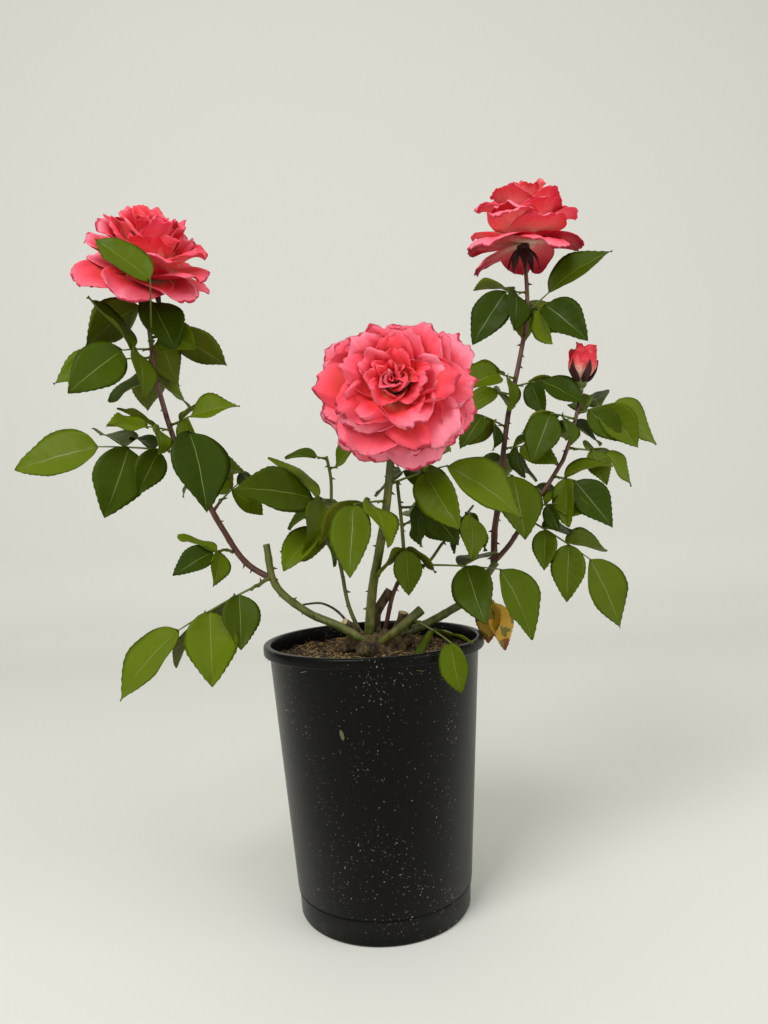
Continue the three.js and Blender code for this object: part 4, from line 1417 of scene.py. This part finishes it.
def bed_height(x, y):
    height = BED_LEVEL
    height += BED_RELIEF * noise.fractal(Vector((x / BED_GRAIN, y / BED_GRAIN, 3)), 0.9, 2.1, 5)
    for (middle_x, middle_y), (wide, deep), rise in BED_DOMES:
        away = ((x - middle_x) / wide) ** 2 + ((y - middle_y) / deep) ** 2
        height += rise * math.exp(-away)
    return height


def add_bed():
    rings = [(BED_RADIUS * i / BED_RINGS, BED_LEVEL) for i in range(BED_RINGS + 1)]
    floor = BED_LEVEL - BED_DEPTH
    bm = spun([*rings, (BED_RADIUS - 0.6, floor), (0, floor)], POT_STEPS)
    for vert in bm.verts:
        if vert.co.z > BED_LEVEL - 1:
            vert.co.z = bed_height(vert.co.x, vert.co.y)
    return bm


# Damp peat: nearly black in the hollows and warm brown where it has dried.
damp_peat = mottled("damp_peat", 0x2B1D0E, 0.95, 0x1E1409, 0x4E3718, PEAT_GRAIN)
finish_piece("compost_bed", add_bed(), [damp_peat], ["compost"])

# %% [markdown]
# A crust of crumbs, pale fibres, scraps of bark and one dry leaf lies on the bed, in a few
# plain browns. Each crumb is a small mesh of few faces, because there are hundreds, and it is
# set down at the bed's own height where it falls.

# %% Crumbs and fibres
CRUMBS = 1500
FIBRES = 260
CHIPS = 26
DRY_LEAF_FOOT = Vector((48, 30, 233))
DRY_LEAF = {"length": 34, "width": 17, "fold": 38, "curl": 50, "wave": 1.2, "waves": 11}
LONG_FIBRE = {"length": 42, "radius": 0.9, "spot": Vector((-14, -18, 230))}
SOIL_TINTS = (0x33220F, 0x4A3216, 0x6E5226, 0x8C7540)
FIBRE, CHIP, DRY = len(SOIL_TINTS), len(SOIL_TINTS) + 1, len(SOIL_TINTS) + 2


def scatter_spot(draw):
    radius = BED_RADIUS * math.sqrt(draw(0, 0.96))
    turn = draw(0, 2 * math.pi)
    x, y = radius * math.cos(turn), radius * math.sin(turn)
    return Vector((x, y, bed_height(x, y)))


def add_scrap(bm, made, spot, sizes, draw, material):
    turn = Matrix.Rotation(draw(0, 6.3), 4, "Z") @ Matrix.Rotation(draw(-0.4, 0.4), 4, "X")
    place = Matrix.Translation(spot) @ turn @ Matrix.Diagonal((*sizes, 1))
    shape_solid(bm, made["verts"], place, material, smooth=False)


def add_crumb(bm, draw):
    ball = bmesh.ops.create_icosphere(bm, subdivisions=1, radius=draw(0.7, 2.4))
    sizes = draw(0.6, 1.3), draw(0.6, 1.3), draw(0.4, 0.9)
    tint = min(len(SOIL_TINTS) - 1, int(draw(0, 1) ** 1.6 * len(SOIL_TINTS)))
    add_scrap(bm, ball, scatter_spot(draw), sizes, draw, tint)


def add_chip(bm, draw):
    size = draw(3, 8)
    sizes = size * draw(0.6, 1), size * draw(0.3, 0.6), size * 0.16
    add_scrap(bm, bmesh.ops.create_cube(bm, size=1), scatter_spot(draw), sizes, draw, CHIP)


def add_fibre(bm, draw, length, radius, spot):
    aim = bearing(draw(0, 360), draw(-6, 18))
    bend = bearing(draw(0, 360), draw(0, 40)) * length * 0.35
    lifted = spot + UP * radius
    curve = sagging_curve(lifted, lifted + aim * length / 2 + bend, lifted + aim * length)
    add_tube(bm, curve, lambda s, a: radius * (1.1 - 0.6 * s), 4, 6, FIBRE)


def add_dry_leaf(bm):
    place = blade_place(DRY_LEAF_FOOT, bearing(20, 8), UP)
    add_leaflet(bm, {**DRY_LEAF, **place}, plain_paint(DRY, DRY, DRY), rows=16)


def add_debris():
    bm = new_shape()
    draw = draws(31)
    for _ in range(CRUMBS):
        add_crumb(bm, draw)
    for _ in range(FIBRES):
        add_fibre(bm, draw, draw(5, 16), draw(0.16, 0.34), scatter_spot(draw))
    for _ in range(CHIPS):
        add_chip(bm, draw)
    add_fibre(bm, draws(5), **LONG_FIBRE)
    add_dry_leaf(bm)
    return bm


soil_tints = [new_material(f"peat_crumb_{i}", colour, 0.95) for i, colour in enumerate(SOIL_TINTS)]
straw_fibre = new_material("straw_fibre", 0xA8905A, 0.8)
bark_chip = new_material("bark_chip", 0x7A5228, 0.85)
dry_leaf = new_material("dry_leaf", 0x6B4A2A, 0.75)
debris_tints = [*soil_tints, straw_fibre, bark_chip, dry_leaf]
finish_piece("crumbs_and_fibres", add_debris(), debris_tints)
